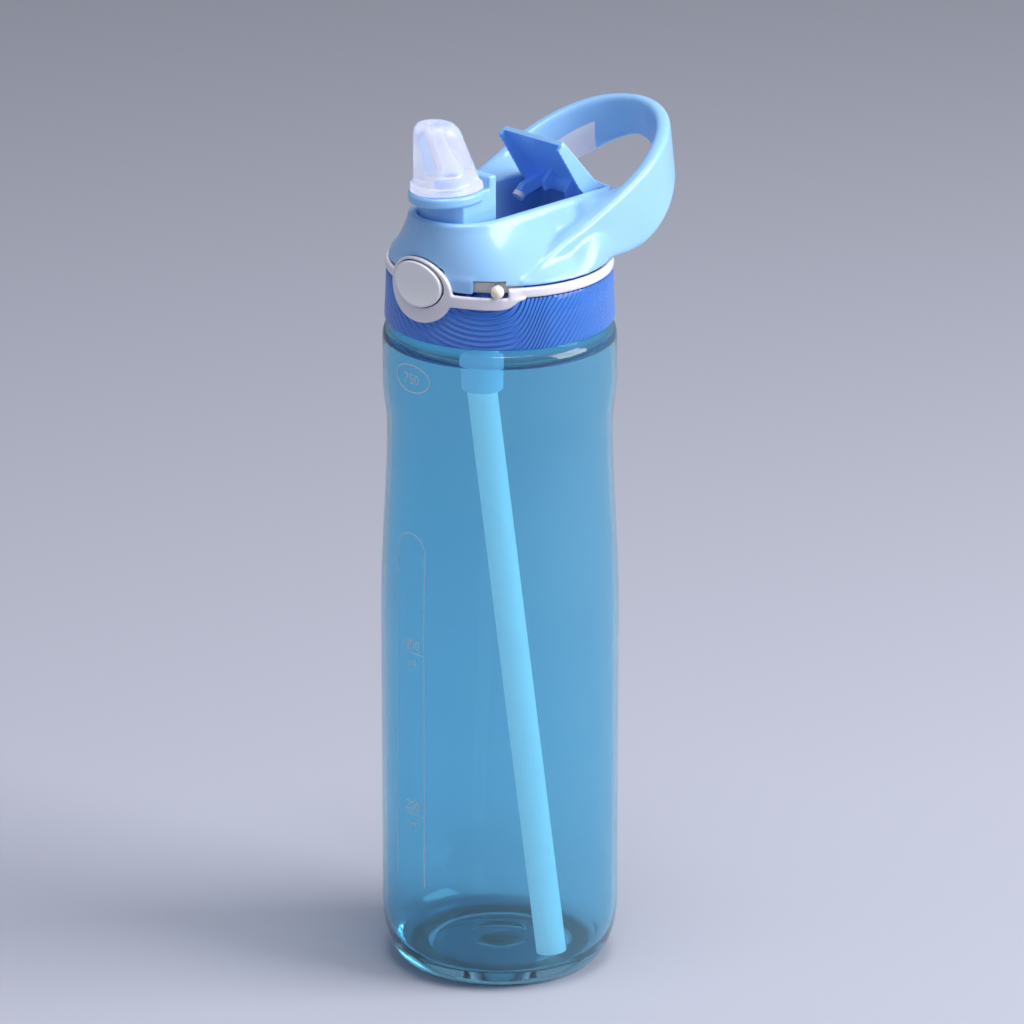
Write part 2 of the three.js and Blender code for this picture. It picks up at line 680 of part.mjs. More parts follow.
add("lid_shell", lidShell(), SKY, 0.35);

for (const [name, side] of [["loop_insert_left", -1], ["loop_insert_right", 1]]) {
  add(name, loopInnerSkin(side, 0.05, insertDepth - GAP, GAP), PEARL, 0.3);
}

// ---------------------------------------------------------------- button and lock
const buttonRadius = bezelRadius + buttonProud;

function pushButton() {
  const outline = ovalAlongY(
    buttonHalfWidth, buttonHalfHeight, buttonZ, -buttonRadius - 2, -neckRadius * 0.7);
  const shell = ringBody(
    buttonRadius - buttonDepth, buttonRadius, buttonZ - 12, buttonZ + 12);
  const dish = new THREE.SphereGeometry(1, 24, 14).scale(
    buttonHalfWidth - 1.2, buttonDish, buttonHalfHeight - 1.2);
  return shell.intersect(outline).subtract(solid(dish.translate(0, -buttonRadius, buttonZ)));
}

add("push_button", pushButton(), PEARL, 0.3);

// Y of the button's back face at a given X.
const buttonBackY = (x) => -Math.sqrt((buttonRadius - buttonDepth) ** 2 - x * x);
// Y of the front of the well's outer face at a given X.
function wellFaceY(x) {
  const half = wellHalfWidth + wellWall;
  const frontY = wellFrontY - wellWall;
  return frontY + half - Math.sqrt(half * half - x * x);
}

add("spout_catch", block(
  catchX - catchHalfWidth, catchX + catchHalfWidth,
  buttonBackY(catchX + catchHalfWidth) + GAP, wellFaceY(catchX) + wellWall + 1.2,
  catchZ - catchHeight / 2, catchZ + catchHeight / 2), PEARL, 0.35);

for (const [name, x] of [["button_spring_left", -4.5], ["button_spring_right", 1.5]]) {
  const front = buttonBackY(Math.abs(x) + springRadius) + GAP;
  const back = wellFaceY(0) - GAP;
  const coil = rodY(springRadius, x, front, back, buttonZ - springDrop).subtract(
    rodY(springBore, x, front - 1, back + 1, buttonZ - springDrop));
  add(name, coil, STEEL, 0.3, 0.9);
}

function lockSlider() {
  const z0 = trimZ + GAP + 0.4;
  const outer = collarTopRadius - trimDepth - 1.0;
  const bar = arcBlock(
    outer - lockBarThickness, outer, lockAngle - 18, lockAngle + 14, z0, z0 + lockSlotHeight - 1);
  const knobZ = trimZ + GAP + lockSlotHeight / 2;
  const stem = rodY(lockStemRadius, 0, -bezelRadius - 0.4, -outer + 0.6, knobZ, 16);
  const ball = new THREE.SphereGeometry(lockKnobRadius, 16, 10);
  const knob = stem.add(solid(ball.translate(0, -bezelRadius - 0.4, knobZ)));
  return bar.add(knob.rotate([0, 0, lockAngle]));
}

add("lock_slider", lockSlider(), CREAM, 0.35);

// ---------------------------------------------------------------- spout
const mouthCentreY = pivotY - 0.6;

function spoutBase() {
  const lowPlan = stadium(
    spoutHalfWidth, wellHalfWidth, wellFrontY + spoutWellGap, pivotY + spoutBackReach);
  const wellPlan = stadium(
    wellHalfWidth - spoutWellGap, wellRadius, wellFrontY + spoutWellGap, wellBackY);
  const body = raised(lowPlan, pivotZ, spoutTopZ).intersect(raised(wellPlan, pivotZ - 1, rimZ + 20));
  const drumProfile = [[0, -drumHalfWidth]];
  for (let i = -8; i <= 8; i += 1) {
    const x = (i / 8) * drumHalfWidth;
    const wallY = wellFrontY + wellHalfWidth - Math.sqrt(wellHalfWidth ** 2 - x * x);
    drumProfile.push([Math.max(drumLeast, pivotY - wallY - spoutWellGap), x]);
  }
  drumProfile.push([0, drumHalfWidth]);
  const drum = turned(drumProfile, 40).rotate([0, 90, 0]).translate([0, pivotY, pivotZ]);
  const flangePlan = new THREE.Shape();
  flangePlan.absellipse(
    0, mouthCentreY, mouthBaseHalfX + 0.6, mouthBaseHalfY + 0.6, 0, 2 * Math.PI, false, 0);
  const flange = raised(flangePlan, spoutTopZ - spoutFlangeHeight, spoutTopZ);
  const ear = block(
    -spoutHalfWidth, spoutHalfWidth, pivotY + spoutBackReach - spoutEarThickness,
    pivotY + spoutBackReach, pivotZ, spoutTopZ + spoutEarHeight);
  const nipple = rodZ(nippleRadius, 0, mouthCentreY, spoutTopZ - 1, spoutTopZ + nippleHeight);
  const duct = rodZ(spoutDuctRadius, 0, pivotY, pivotZ - 20, spoutTopZ + 20);
  const heelRise = 30 * Math.tan(THREE.MathUtils.degToRad(spoutHeelAngle));
  const heel = across([
    [pivotY, pivotZ - 1], [pivotY + 30, pivotZ - 1], [pivotY + 30, pivotZ + heelRise], [pivotY, pivotZ],
  ], -wellHalfWidth, wellHalfWidth);
  let base = body.add(ear).subtract(heel).add(drum).add(flange).add(nipple).subtract(duct);
  for (const side of [-1, 1]) {
    const bore = rodX(pinRadius + RUN, 0, 12, pivotY, pivotZ);
    base = base.subtract(side > 0 ? bore.translate([4.8, 0, 0]) : bore.translate([-16.8, 0, 0]));
  }
  const springRoom = rodX(spoutSpringRadius + RUN, spoutSpringX - 1,
    spoutSpringX + springLength + GAP, pivotY, pivotZ);
  return base.subtract(catchGroove()).subtract(springRoom);
}

// Round groove in the drum that the catch's tip runs in.
function catchGroove() {
  const x0 = catchX - catchHalfWidth - GAP;
  const x1 = catchX + catchHalfWidth + GAP;
  const ring = rodX(12, x0, x1, pivotY, pivotZ).subtract(rodX(3.4, x0 - 1, x1 + 1, pivotY, pivotZ));
  const quarter = block(
    x0 - 1, x1 + 1, pivotY - 13, pivotY + 1.6, pivotZ - 13, pivotZ + catchHeight / 2 + GAP);
  return ring.intersect(quarter);
}

add("spout_base", spoutBase(), SKY, 0.35);

// Half widths and centre of the mouthpiece at a share t of its height.
function mouthSection(t) {
  const z = THREE.MathUtils.lerp(spoutTopZ + GAP, mouthTipZ, t);
  const lip = z - spoutTopZ - GAP < mouthLipHeight ? 0 : mouthLipWidth;
  const crown = mouthCrown * (Math.max(0, t - mouthCrownShare) / (1 - mouthCrownShare)) ** 2;
  const baseY = THREE.MathUtils.lerp(mouthBaseHalfY, mouthTipHalfY, t);
  return {
    z,
    halfX: THREE.MathUtils.lerp(mouthBaseHalfX, mouthTipHalfX, t) - lip - crown,
    halfY: baseY - lip - crown,
    centreY: mouthCentreY - mouthBaseHalfY + baseY,
  };
}

// Space that the mouthpiece's tip passes through as the spout folds, grown by an allowance.
function tipSweep(grow) {
  const steps = 8;
  const profile = [[0, -mouthTipHalfX]];
  for (let i = -steps; i <= steps; i += 1) {
    const x = (i / steps) * mouthTipHalfX;
    let reach = 0;
    for (let t = 0.5; t <= 1; t += 0.05) {
      const { z, halfX, halfY, centreY } = mouthSection(t);
      const bulge = 1 - (x / halfX) ** 2;
      const backward = pivotY - centreY + halfY * Math.sqrt(Math.max(0, bulge));
      if (bulge >= 0) reach = Math.max(reach, Math.hypot(z - pivotZ, backward));
    }
    if (reach > 0) profile.push([reach + grow, x]);
  }
  profile.push([0, mouthTipHalfX]);
  return turned(profile, 96).rotate([0, 90, 0]).translate([0, pivotY, pivotZ]);
}

function mouthpiece() {
  const rows = 10;
  const footZ = spoutTopZ + GAP;
  const tipZ = mouthTipZ;
  const surface = (u, v, target) => {
    const angle = u * 2 * Math.PI;
    const row = v * (rows + 2);
    const t = THREE.MathUtils.clamp((row - 1) / rows, 0, 1);
    const { z, halfX, halfY, centreY } = mouthSection(t);
    const closed = row < 0.5 || row > rows + 1.5;
    if (closed) target.set(0, centreY, z);
    else target.set(halfX * Math.cos(angle), centreY + halfY * Math.sin(angle), z);
  };
  const tipCentreY = mouthCentreY - mouthBaseHalfY + mouthTipHalfY;
  const bore = along([
    new THREE.Vector3(0, mouthCentreY, footZ - 1),
    new THREE.Vector3(0, mouthCentreY, footZ + nippleHeight),
    new THREE.Vector3(0, tipCentreY, tipZ - 4),
    new THREE.Vector3(0, tipCentreY, tipZ + 2),
  ], mouthBoreRadius, 6, 8);
  const socket = rodZ(nippleRadius + GAP, 0, mouthCentreY, footZ - 1, footZ + nippleHeight + GAP);
  const backClear = block(
    -20, 20, pivotY + spoutBackReach - spoutEarThickness - GAP, 20, footZ - 1,
    spoutTopZ + spoutEarHeight + GAP);
  return solid(new ParametricGeometry(surface, 32, rows + 2))
    .subtract(bore).subtract(socket).subtract(backClear);
}

add("mouthpiece", mouthpiece(), MILKY, 0.45, 0, 0.85);

add("port_seal", rodZ(sealRadius, 0, pivotY, sealFootZ, sealFootZ + sealHeight)
  .subtract(rodZ(3, 0, pivotY, pivotZ - 30, pivotZ)), MILKY, 0.6);

for (const [name, side] of [["spout_pin_left", -1], ["spout_pin_right", 1]]) {
  const inner = 5.4;
  const outer = wellHalfWidth + wellWall + 1;
  add(name, side > 0 ? rodX(pinRadius, inner, outer, pivotY, pivotZ)
    : rodX(pinRadius, -outer, -inner, pivotY, pivotZ), STEEL, 0.3, 0.9);
}

// ---------------------------------------------------------------- springs on the pins
function pinSpring(x0, x1, y, z, radius) {
  const bore = pinRadius + GAP;
  return rodX(radius, x0, x1, y, z).subtract(rodX(bore, x0 - 1, x1 + 1, y, z));
}

add("spout_spring", pinSpring(
  spoutSpringX, spoutSpringX + springLength, pivotY, pivotZ, spoutSpringRadius), STEEL, 0.3, 0.9);

// ---------------------------------------------------------------- spout cover
const coverTopZ = rimZ - 0.2;
const coverFootZ = coverTopZ - coverThickness;
const coverFrontY = coverHingeY - coverLength;

// Drawn closed, then turned up about its hinge to the rest position.
function openCover(body) {
  return body.translate([0, -coverHingeY, -coverHingeZ])
    .rotate([-coverOpenAngle, 0, 0])
    .translate([0, coverHingeY, coverHingeZ]);
}

function spoutCover() {
  const plate = block(
    -coverHalfWidth, coverHalfWidth, coverFrontY, coverHingeY + 1.2, coverFootZ, coverTopZ);
  const skirt = across([
    [coverFrontY, coverFootZ + 0.2], [coverFrontY, coverFootZ - coverSkirtShallow],
    [coverHingeY - 3, coverHingeZ - coverSkirtDeep + 2], [coverHingeY + 1.2, coverHingeZ],
    [coverHingeY + 1.2, coverFootZ + 0.2],
  ], coverHalfWidth - coverSkirtWall, coverHalfWidth);
  const fin = across([
    [coverHingeY - finReach, coverFootZ + 0.2], [coverHingeY - finReach, coverFootZ - finDepth],
    [coverHingeY, coverHingeZ - 1], [coverHingeY, coverFootZ + 0.2],
  ], -finThickness / 2, finThickness / 2);
  const armX = ventOffsetX;
  const plugTopZ = plugFootZ + plugHeight + GAP;
  const arm = across([
    [coverHingeY, coverHingeZ + 1], [coverHingeY - 3, coverHingeZ + 1],
    [ventY - 1.6, plugTopZ + 2.4], [ventY - 1.6, plugTopZ], [ventY + 1.6, plugTopZ],
    [coverHingeY, coverHingeZ - 2],
  ], armX - finThickness, armX + finThickness);
  const barrel = rodX(coverBarrelRadius, -coverHalfWidth, coverHalfWidth, coverHingeY, coverHingeZ);
  let cover = plate.add(barrel).add(skirt)
    .add(skirt.translate([-2 * coverHalfWidth + coverSkirtWall, 0, 0])).add(arm);
  for (const side of [-1, 1]) cover = cover.add(fin.translate([finOffset + side * finSpread, 0, 0]));
  cover = cover.subtract(rodX(pinRadius + RUN, -20, 20, coverHingeY, coverHingeZ));
  const springRoom = rodX(coverSpringRadius + RUN, coverSpringX - GAP, coverSpringX + springLength + GAP,
    coverHingeY, coverHingeZ);
  return openCover(cover.subtract(springRoom)).subtract(tipSweep(coverSweepGap));
}

add("spout_cover", spoutCover(), SKY, 0.35);

add("vent_plug", openCover(rodZ(
  plugRadius, ventOffsetX, ventY, plugFootZ, plugFootZ + plugHeight)), MILKY, 0.6);

add("cover_pin", rodX(pinRadius, -coverPinHalf, coverPinHalf, coverHingeY, coverHingeZ),
  STEEL, 0.3, 0.9);

add("cover_spring", pinSpring(
  coverSpringX, coverSpringX + springLength, coverHingeY, coverHingeZ, coverSpringRadius), STEEL, 0.3, 0.9);

// ---------------------------------------------------------------- straw
const socketFootZ = socketTopZ - socketLength;
const strawTipRadius = neckRadius - neckWall - strawRadius - strawTipClearance;

add("straw_socket", turned([
  [spigotRadius + GAP, socketTopZ - GAP], [spigotRadius + GAP + socketWall + 0.9, socketTopZ - GAP],
  [strawRadius + GAP + socketWall, socketFootZ], [strawRadius + GAP, socketFootZ],
  [strawRadius + GAP, strawTopZ + GAP], [spigotRadius + GAP, strawTopZ + GAP + 0.6],
  [spigotRadius + GAP, socketTopZ - GAP],
], 40).translate([0, strawPortY, 0]), MILKY, 0.5, 0, 0.8);

function straw() {
  const tipX = strawTipRadius * 0.996;
  const tipY = -strawTipRadius * 0.088;
  const tipZ = floorThickness + strawFloorClearance + strawTipRise;
  const start = new THREE.Vector3(0, strawPortY, strawTopZ);
  const bend = new THREE.Vector3(0, strawPortY, socketFootZ - strawBendDrop);
  const tip = new THREE.Vector3(tipX, tipY, tipZ);
  const below = bend.clone().lerp(tip, 0.06);
  const points = [start, bend, below];
  for (let i = 1; i <= 6; i += 1) points.push(below.clone().lerp(tip, i / 6));
  const path = points;
  const outer = along(path, strawRadius, 8, 14);
  const overshoot = tip.clone().add(tip.clone().sub(below).setLength(3));
  const inner = along(
    [start.clone().setZ(start.z + 3), ...path.slice(0, -1), overshoot], strawRadius - strawWall, 8, 14);
  return outer.subtract(inner);
}

add("straw", straw(), 0xbfe9f2, 0.35, 0, 0.9);

export default bottle;
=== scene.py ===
"""Looks of the sports squeeze bottle: a clear body under a flip-spout lid with a carry loop.

Sizes are in millimetres in the classes below and become metres when a mesh is finished.
The bottle stands on z = 0, the push button faces -Y and the carry loop reaches towards +Y.
"""

import logging
import math
from dataclasses import dataclass
from enum import Enum
from typing import Callable, Sequence

import bmesh
import bpy
from mathutils import Matrix, Vector

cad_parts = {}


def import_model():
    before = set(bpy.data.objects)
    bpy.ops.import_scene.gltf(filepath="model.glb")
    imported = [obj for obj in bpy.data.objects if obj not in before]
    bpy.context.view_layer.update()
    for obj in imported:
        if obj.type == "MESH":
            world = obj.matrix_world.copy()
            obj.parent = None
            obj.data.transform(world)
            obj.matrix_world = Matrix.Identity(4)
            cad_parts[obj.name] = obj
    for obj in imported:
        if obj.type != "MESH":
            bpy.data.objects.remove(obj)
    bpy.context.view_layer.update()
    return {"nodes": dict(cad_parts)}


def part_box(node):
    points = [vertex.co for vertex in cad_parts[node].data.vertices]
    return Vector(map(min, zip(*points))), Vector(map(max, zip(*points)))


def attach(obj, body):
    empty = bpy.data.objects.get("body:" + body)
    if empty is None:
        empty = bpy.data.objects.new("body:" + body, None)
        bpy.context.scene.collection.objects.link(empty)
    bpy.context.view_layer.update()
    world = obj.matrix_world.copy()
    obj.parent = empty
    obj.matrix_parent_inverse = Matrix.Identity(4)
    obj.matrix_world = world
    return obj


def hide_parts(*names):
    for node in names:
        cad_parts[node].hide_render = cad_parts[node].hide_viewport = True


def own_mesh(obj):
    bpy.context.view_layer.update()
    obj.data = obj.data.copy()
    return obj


LOG = logging.getLogger("squeeze_bottle")
MM = 0.001
RGB = tuple[float, float, float]
Ring = list[bmesh.types.BMVert]


# ------------------------------------------------------------------ small tools
def tone(red: int, green: int, blue: int) -> RGB:
    """A screen colour as linear light."""
    def linear(value: int) -> float:
        """One channel as linear light."""
        share = value / 255
        return share / 12.92 if share <= 0.04045 else ((share + 0.055) / 1.055) ** 2.4
    return (linear(red), linear(green), linear(blue))


def ease(share: float) -> float:
    """A smooth step from 0 to 1."""
    share = min(1.0, max(0.0, share))
    return share * share * (3 - 2 * share)


def follow(knots: Sequence[tuple[float, float]], at: float) -> float:
    """Reads a smooth curve through knots.

    Args:
        knots: (place, value) pairs in rising order of place.
        at: the place to read.

    Returns:
        The value there, level beyond both ends.
    """
    if at <= knots[0][0]:
        return knots[0][1]
    if at >= knots[-1][0]:
        return knots[-1][1]
    index = max(i for i, knot in enumerate(knots) if knot[0] <= at)
    (x1, y1), (x2, y2) = knots[index], knots[index + 1]
    before = knots[max(0, index - 1)]
    after = knots[min(len(knots) - 1, index + 2)]
    slope1 = (y2 - before[1]) / (x2 - before[0])
    slope2 = (after[1] - y1) / (after[0] - x1)
    t = (at - x1) / (x2 - x1)
    width = x2 - x1
    return ((2 * t ** 3 - 3 * t ** 2 + 1) * y1 + (t ** 3 - 2 * t ** 2 + t) * width * slope1
            + (3 * t ** 2 - 2 * t ** 3) * y2 + (t ** 3 - t ** 2) * width * slope2)


def start_ring(bm: bmesh.types.BMesh, points: Sequence[Vector]) -> Ring:
    """Makes a circle and moves its corners to the given points."""
    ring = bmesh.ops.create_circle(bm, cap_ends=False, segments=len(points), radius=1)["verts"]
    for corner, point in zip(ring, points):
        corner.co = point
    return ring


def ring_edges(bm: bmesh.types.BMesh, ring: Ring) -> list[bmesh.types.BMEdge]:
    """The edges of a closed ring of corners, in order."""
    return [bm.edges.get((corner, ring[(i + 1) % len(ring)])) for i, corner in enumerate(ring)]


def grow_ring(bm: bmesh.types.BMesh, ring: Ring, points: Sequence[Vector]) -> Ring:
    """Extrudes a ring and moves the new one to the given points.

    Args:
        bm: the mesh.
        ring: the ring to extrude.
        points: one place for each of its corners.

    Returns:
        The new ring, in the same order.
    """
    made = bmesh.ops.extrude_edge_only(bm, edges=ring_edges(bm, ring))["geom"]
    fresh = {item for item in made if isinstance(item, bmesh.types.BMVert)}
    following = [
        next(edge.other_vert(corner) for edge in corner.link_edges if edge.other_vert(corner) in fresh)
        for corner in ring]
    for corner, point in zip(following, points):
        corner.co = point
    return following


def loft(bm: bmesh.types.BMesh, sections: Sequence[Sequence[Vector]], joined: bool = False) -> None:
    """Skins a row of closed sections by extruding a ring from one to the next.

    Args:
        bm: the mesh that receives the skin.
        sections: closed outlines with the same number of points.
        joined: True to join the last section to the first, else both ends are capped.
    """
    first = start_ring(bm, sections[0])
    ring = first
    for section in sections[1:]:
        ring = grow_ring(bm, ring, section)
    if joined:
        bmesh.ops.bridge_loops(bm, edges=ring_edges(bm, first) + ring_edges(bm, ring))
    else:
        bmesh.ops.edgeloop_fill(bm, edges=ring_edges(bm, first))
        bmesh.ops.edgeloop_fill(bm, edges=ring_edges(bm, ring))


def turn(bm: bmesh.types.BMesh, profile: Sequence[tuple[float, float]], steps: int = 128) -> None:
    """Spins a profile of (radius, height) points right round Z."""
    corners = [bm.verts.new((radius, 0, height)) for radius, height in profile]
    edges = [bm.edges.new(pair) for pair in zip(corners, corners[1:])]
    bmesh.ops.spin(bm, geom=corners + edges, cent=(0, 0, 0), axis=(0, 0, 1), dvec=(0, 0, 0),
                   angle=2 * math.pi, steps=steps, use_merge=True, use_duplicate=False)
    bmesh.ops.remove_doubles(bm, verts=bm.verts, dist=1e-4)


def tube(bm: bmesh.types.BMesh, path: Sequence[Vector], radius: float, sides: int = 24) -> None:
    """Skins a round rod along a path.

    Args:
        bm: the mesh.
        path: points along the rod's middle.
        radius: the rod's radius.
        sides: corners round it.
    """
    sections = []
    across = None
    for i, point in enumerate(path):
        ahead = (path[min(i + 1, len(path) - 1)] - path[max(i - 1, 0)]).normalized()
        if across is None:
            across = ahead.orthogonal().normalized()
        across = (across - ahead * across.dot(ahead)).normalized()
        other = ahead.cross(across)
        sections.append([
            point + across * (radius * math.cos(a)) + other * (radius * math.sin(a))
            for a in (2 * math.pi * k / sides for k in range(sides))])
    loft(bm, sections)


def rounded_box(half_u: float, half_v: float, corner: float, per_corner: int = 4) -> list[tuple[float, float]]:
    """The outline of a rectangle with round corners, about its middle."""
    corner = min(corner, half_u, half_v)
    outline = []
    for quarter, (su, sv) in enumerate(((1, 1), (-1, 1), (-1, -1), (1, -1))):
        for k in range(per_corner + 1):
            a = math.pi / 2 * (quarter + k / per_corner)
            outline.append((su * (half_u - corner) + corner * math.cos(a),
                            sv * (half_v - corner) + corner * math.sin(a)))
    return outline


def around(radius: float, arc: float, height: float) -> Vector:
    """A point on the lid's round.

    Args:
        radius: distance from the axis.
        arc: angle from the front towards +X, in degrees.
        height: height above the floor.

    Returns:
        The point.
    """
    a = math.radians(arc)
    return Vector((radius * math.sin(a), -radius * math.cos(a), height))


# ------------------------------------------------------------------ finishes
class Grain(Enum):
    """How a surface is broken up."""
    MOULDED = "moulded"
    BRUSHED = "brushed"
    SILKY = "silky"


@dataclass(frozen=True)
class Finish:
    """A plastic, silicone or metal surface with its own grain and a tone that varies at random.

    Attributes give the lighter and darker tone, the roughness and its spread, the size of
    the grain per millimetre, the height of the grain in millimetres, and the shader's own values; the emission
    strength is a painted glow.
    """
    name: str
    light: RGB
    dark: RGB
    roughness: float = 0.3
    spread: float = 0.08
    grain: float = 1.2
    height: float = 0.02
    pattern: Grain = Grain.MOULDED
    coat: float = 0.0
    metallic: float = 0.0
    clear: float = 0.0
    glow: float = 0.0
    # painted glow: emission strength that lights the part from within, though it is no lamp
    painted_glow: float = 0.0
    ior: float = 1.46
    alpha: float = 1.0

    def material(self) -> bpy.types.Material:
        """Builds the material once and returns it after that."""
        found = bpy.data.materials.get(self.name)
        if found:
            return found
        material = bpy.data.materials.new(self.name)
        material.use_nodes = True
        nodes = material.node_tree.nodes
        links = material.node_tree.links
        shader = nodes["Principled BSDF"]
        shader.inputs["Metallic"].default_value = self.metallic
        shader.inputs["IOR"].default_value = self.ior
        shader.inputs["Coat Weight"].default_value = self.coat
        shader.inputs["Coat Roughness"].default_value = 0.08
        shader.inputs["Transmission Weight"].default_value = self.clear
        shader.inputs["Alpha"].default_value = self.alpha
        shader.inputs["Subsurface Weight"].default_value = self.glow
        shader.inputs["Subsurface Radius"].default_value = (0.6, 0.8, 1.0)
        shader.inputs["Subsurface Scale"].default_value = 0.004
        # Emission in the light tone: a painted glow, off unless its strength is set
        shader.inputs["Emission Color"].default_value = (*self.light, 1)
        shader.inputs["Emission Strength"].default_value = self.painted_glow
        place = nodes.new("ShaderNodeTexCoord")
        mapping = nodes.new("ShaderNodeMapping")
        stretch = (1, 1, 14) if self.pattern is Grain.BRUSHED else (1, 1, 1)
        mapping.inputs["Scale"].default_value = stretch
        links.new(place.outputs["Object"], mapping.inputs["Vector"])
        cloud = self.noise(material, mapping, 40 if self.pattern is Grain.SILKY else 60, 3)
        fine = self.noise(material, mapping, self.grain / MM, 4)
        blend = nodes.new("ShaderNodeMix")
        blend.data_type = "RGBA"
        blend.inputs["A"].default_value = (*self.dark, 1)
        blend.inputs["B"].default_value = (*self.light, 1)
        links.new(cloud.outputs["Fac"], blend.inputs["Factor"])
        links.new(blend.outputs["Result"], shader.inputs["Base Color"])
        gloss = nodes.new("ShaderNodeMapRange")
        gloss.inputs["To Min"].default_value = max(0.0, self.roughness - self.spread)
        gloss.inputs["To Max"].default_value = self.roughness + self.spread
        links.new(fine.outputs["Fac"], gloss.inputs["Value"])
        links.new(gloss.outputs["Result"], shader.inputs["Roughness"])
        bump = nodes.new("ShaderNodeBump")
        bump.inputs["Strength"].default_value = 0.5
        bump.inputs["Distance"].default_value = self.height * MM
        links.new(fine.outputs["Fac"], bump.inputs["Height"])
        links.new(bump.outputs["Normal"], shader.inputs["Normal"])
        self.add_relief(material, place, bump)
        return material

    def noise(self, material: bpy.types.Material, mapping: bpy.types.Node, scale: float,
              detail: float) -> bpy.types.Node:
        """Adds a noise texture read through a mapping."""
        texture = material.node_tree.nodes.new("ShaderNodeTexNoise")
        texture.inputs["Scale"].default_value = scale
        texture.inputs["Detail"].default_value = detail
        material.node_tree.links.new(mapping.outputs["Vector"], texture.inputs["Vector"])
        return texture

    def add_relief(self, material: bpy.types.Material, place: bpy.types.Node,
                   bump: bpy.types.Node) -> None:
        """Adds relief of the finish's own; a plain finish has none."""


@dataclass(frozen=True)
class GroovedFinish(Finish):
    """The collar's moulded grip: rings round the lock that fan out into slanted lines."""
    centre_arc: float = 36.0
    centre_height: float = 231.0
    radius: float = 35.6
    pitch: float = 1.7
    depth: float = 0.45
    fan_from: float = 14.0

    def add_relief(self, material: bpy.types.Material, place: bpy.types.Node,
                   bump: bpy.types.Node) -> None:
        """Adds the grooves ahead of the fine grain.

        Args:
            material: the material to change.
            place: its coordinate node.
            bump: the bump node of the fine grain.
        """
        nodes = material.node_tree.nodes
        links = material.node_tree.links

        def math_node(kind: str, first: object, second: object = None) -> bpy.types.NodeSocket:
            """A math node whose inputs are sockets or numbers."""
            node = nodes.new("ShaderNodeMath")
            node.operation = kind
            for socket, value in zip(node.inputs, (first, second)):
                if isinstance(value, bpy.types.NodeSocket):
                    links.new(value, socket)
                elif value is not None:
                    socket.default_value = value
            return node.outputs[0]

        turned = nodes.new("ShaderNodeMapping")
        turned.inputs["Rotation"].default_value = (0, 0, math.radians(90 - self.centre_arc))
        turned.inputs["Location"].default_value = (0, 0, -self.centre_height * MM)
        links.new(place.outputs["Object"], turned.inputs["Vector"])
        split = nodes.new("ShaderNodeSeparateXYZ")
        links.new(turned.outputs["Vector"], split.inputs["Vector"])
        angle = math_node("ARCTAN2", split.outputs["Y"], split.outputs["X"])
        along = math_node("MULTIPLY", angle, self.radius)
        up = math_node("MULTIPLY", split.outputs["Z"], 1 / MM)
        rings = math_node("SQRT", math_node(
            "ADD", math_node("POWER", math_node("MULTIPLY", along, 0.62), 2), math_node("POWER", up, 2)))
        slant = math_node("SUBTRACT", math_node("MULTIPLY", along, 0.86), math_node("MULTIPLY", up, 0.7))
        fan = nodes.new("ShaderNodeMapRange")
        fan.interpolation_type = "SMOOTHSTEP"
        fan.inputs["From Min"].default_value = self.fan_from - 5
        fan.inputs["From Max"].default_value = self.fan_from + 8
        links.new(along, fan.inputs["Value"])
        mix = nodes.new("ShaderNodeMix")
        links.new(fan.outputs["Result"], mix.inputs["Factor"])
        links.new(rings, mix.inputs["A"])
        links.new(slant, mix.inputs["B"])
        wave = math_node("SINE", math_node("MULTIPLY", mix.outputs["Result"], 2 * math.pi / self.pitch))
        grooves = nodes.new("ShaderNodeBump")
        grooves.inputs["Strength"].default_value = 1.0
        grooves.inputs["Distance"].default_value = self.depth * MM
        links.new(wave, grooves.inputs["Height"])
        links.new(grooves.outputs["Normal"], bump.inputs["Normal"])


SKY = Finish("sky_blue_shell", tone(156, 203, 247), tone(140, 192, 243), 0.32, 0.05, 2.0, 0.012, coat=0.3)
SPOUT_SKY = Finish("sky_blue_spout", tone(150, 204, 250), tone(130, 190, 248), 0.28, 0.05, 2.0, 0.01, coat=0.3)
# painted shade: the pan under the well takes the deep blue of the shade down in the well
PAN_PAINTED_SHADE = Finish("pan_painted_shade", tone(48, 116, 226), tone(30, 92, 208), 0.4, 0.08, 1.5, 0.02)
GRIP = GroovedFinish("grooved_collar", tone(70, 142, 242), tone(52, 122, 234), 0.4, 0.06, 2.0, 0.012, coat=0.35)
# painted shade: a deeper copy of the lid's blue for the cover's sheltered underside, lifted by a faint painted glow
COVER_PAINTED_SHADE = Finish("cover_painted_shade", tone(112, 174, 250), tone(92, 156, 246), 0.3, 0.05, 2.0, 0.012, coat=0.3,
                    painted_glow=0.12)
PEARL = Finish("pearl_trim", tone(236, 232, 240), tone(224, 220, 232), 0.26, 0.05, 3.0, 0.006,
               pattern=Grain.SILKY, coat=0.4)
# painted shade: the button's pearl is toned greyer than the trim's to stand for the shade in its dish
BUTTON_PAINTED_SHADE = Finish("pearl_button", tone(190, 186, 196), tone(172, 168, 180), 0.2, 0.06, 3.0, 0.006,
                pattern=Grain.SILKY, coat=0.35)
CREAM = Finish("cream_knob", tone(248, 242, 226), tone(236, 228, 208), 0.3, 0.05, 2.0, 0.01, coat=0.3)
CLEAR = Finish("clear_blue_body", tone(168, 232, 252), tone(160, 226, 250), 0.035, 0.02, 0.05, 0.03,
               pattern=Grain.SILKY, clear=0.93, ior=1.42)
# painted glow: the mouthpiece's emission brightens it though it is no lamp
MOUTH = Finish("milky_mouth_silicone", tone(238, 240, 252), tone(230, 234, 250), 0.2, 0.05, 2.0, 0.01,
               clear=0.78, glow=0.1, painted_glow=0.14, ior=1.36)
MILKY = Finish("milky_silicone", tone(226, 232, 246), tone(208, 216, 238), 0.45, 0.06, 2.0, 0.015, glow=0.3)
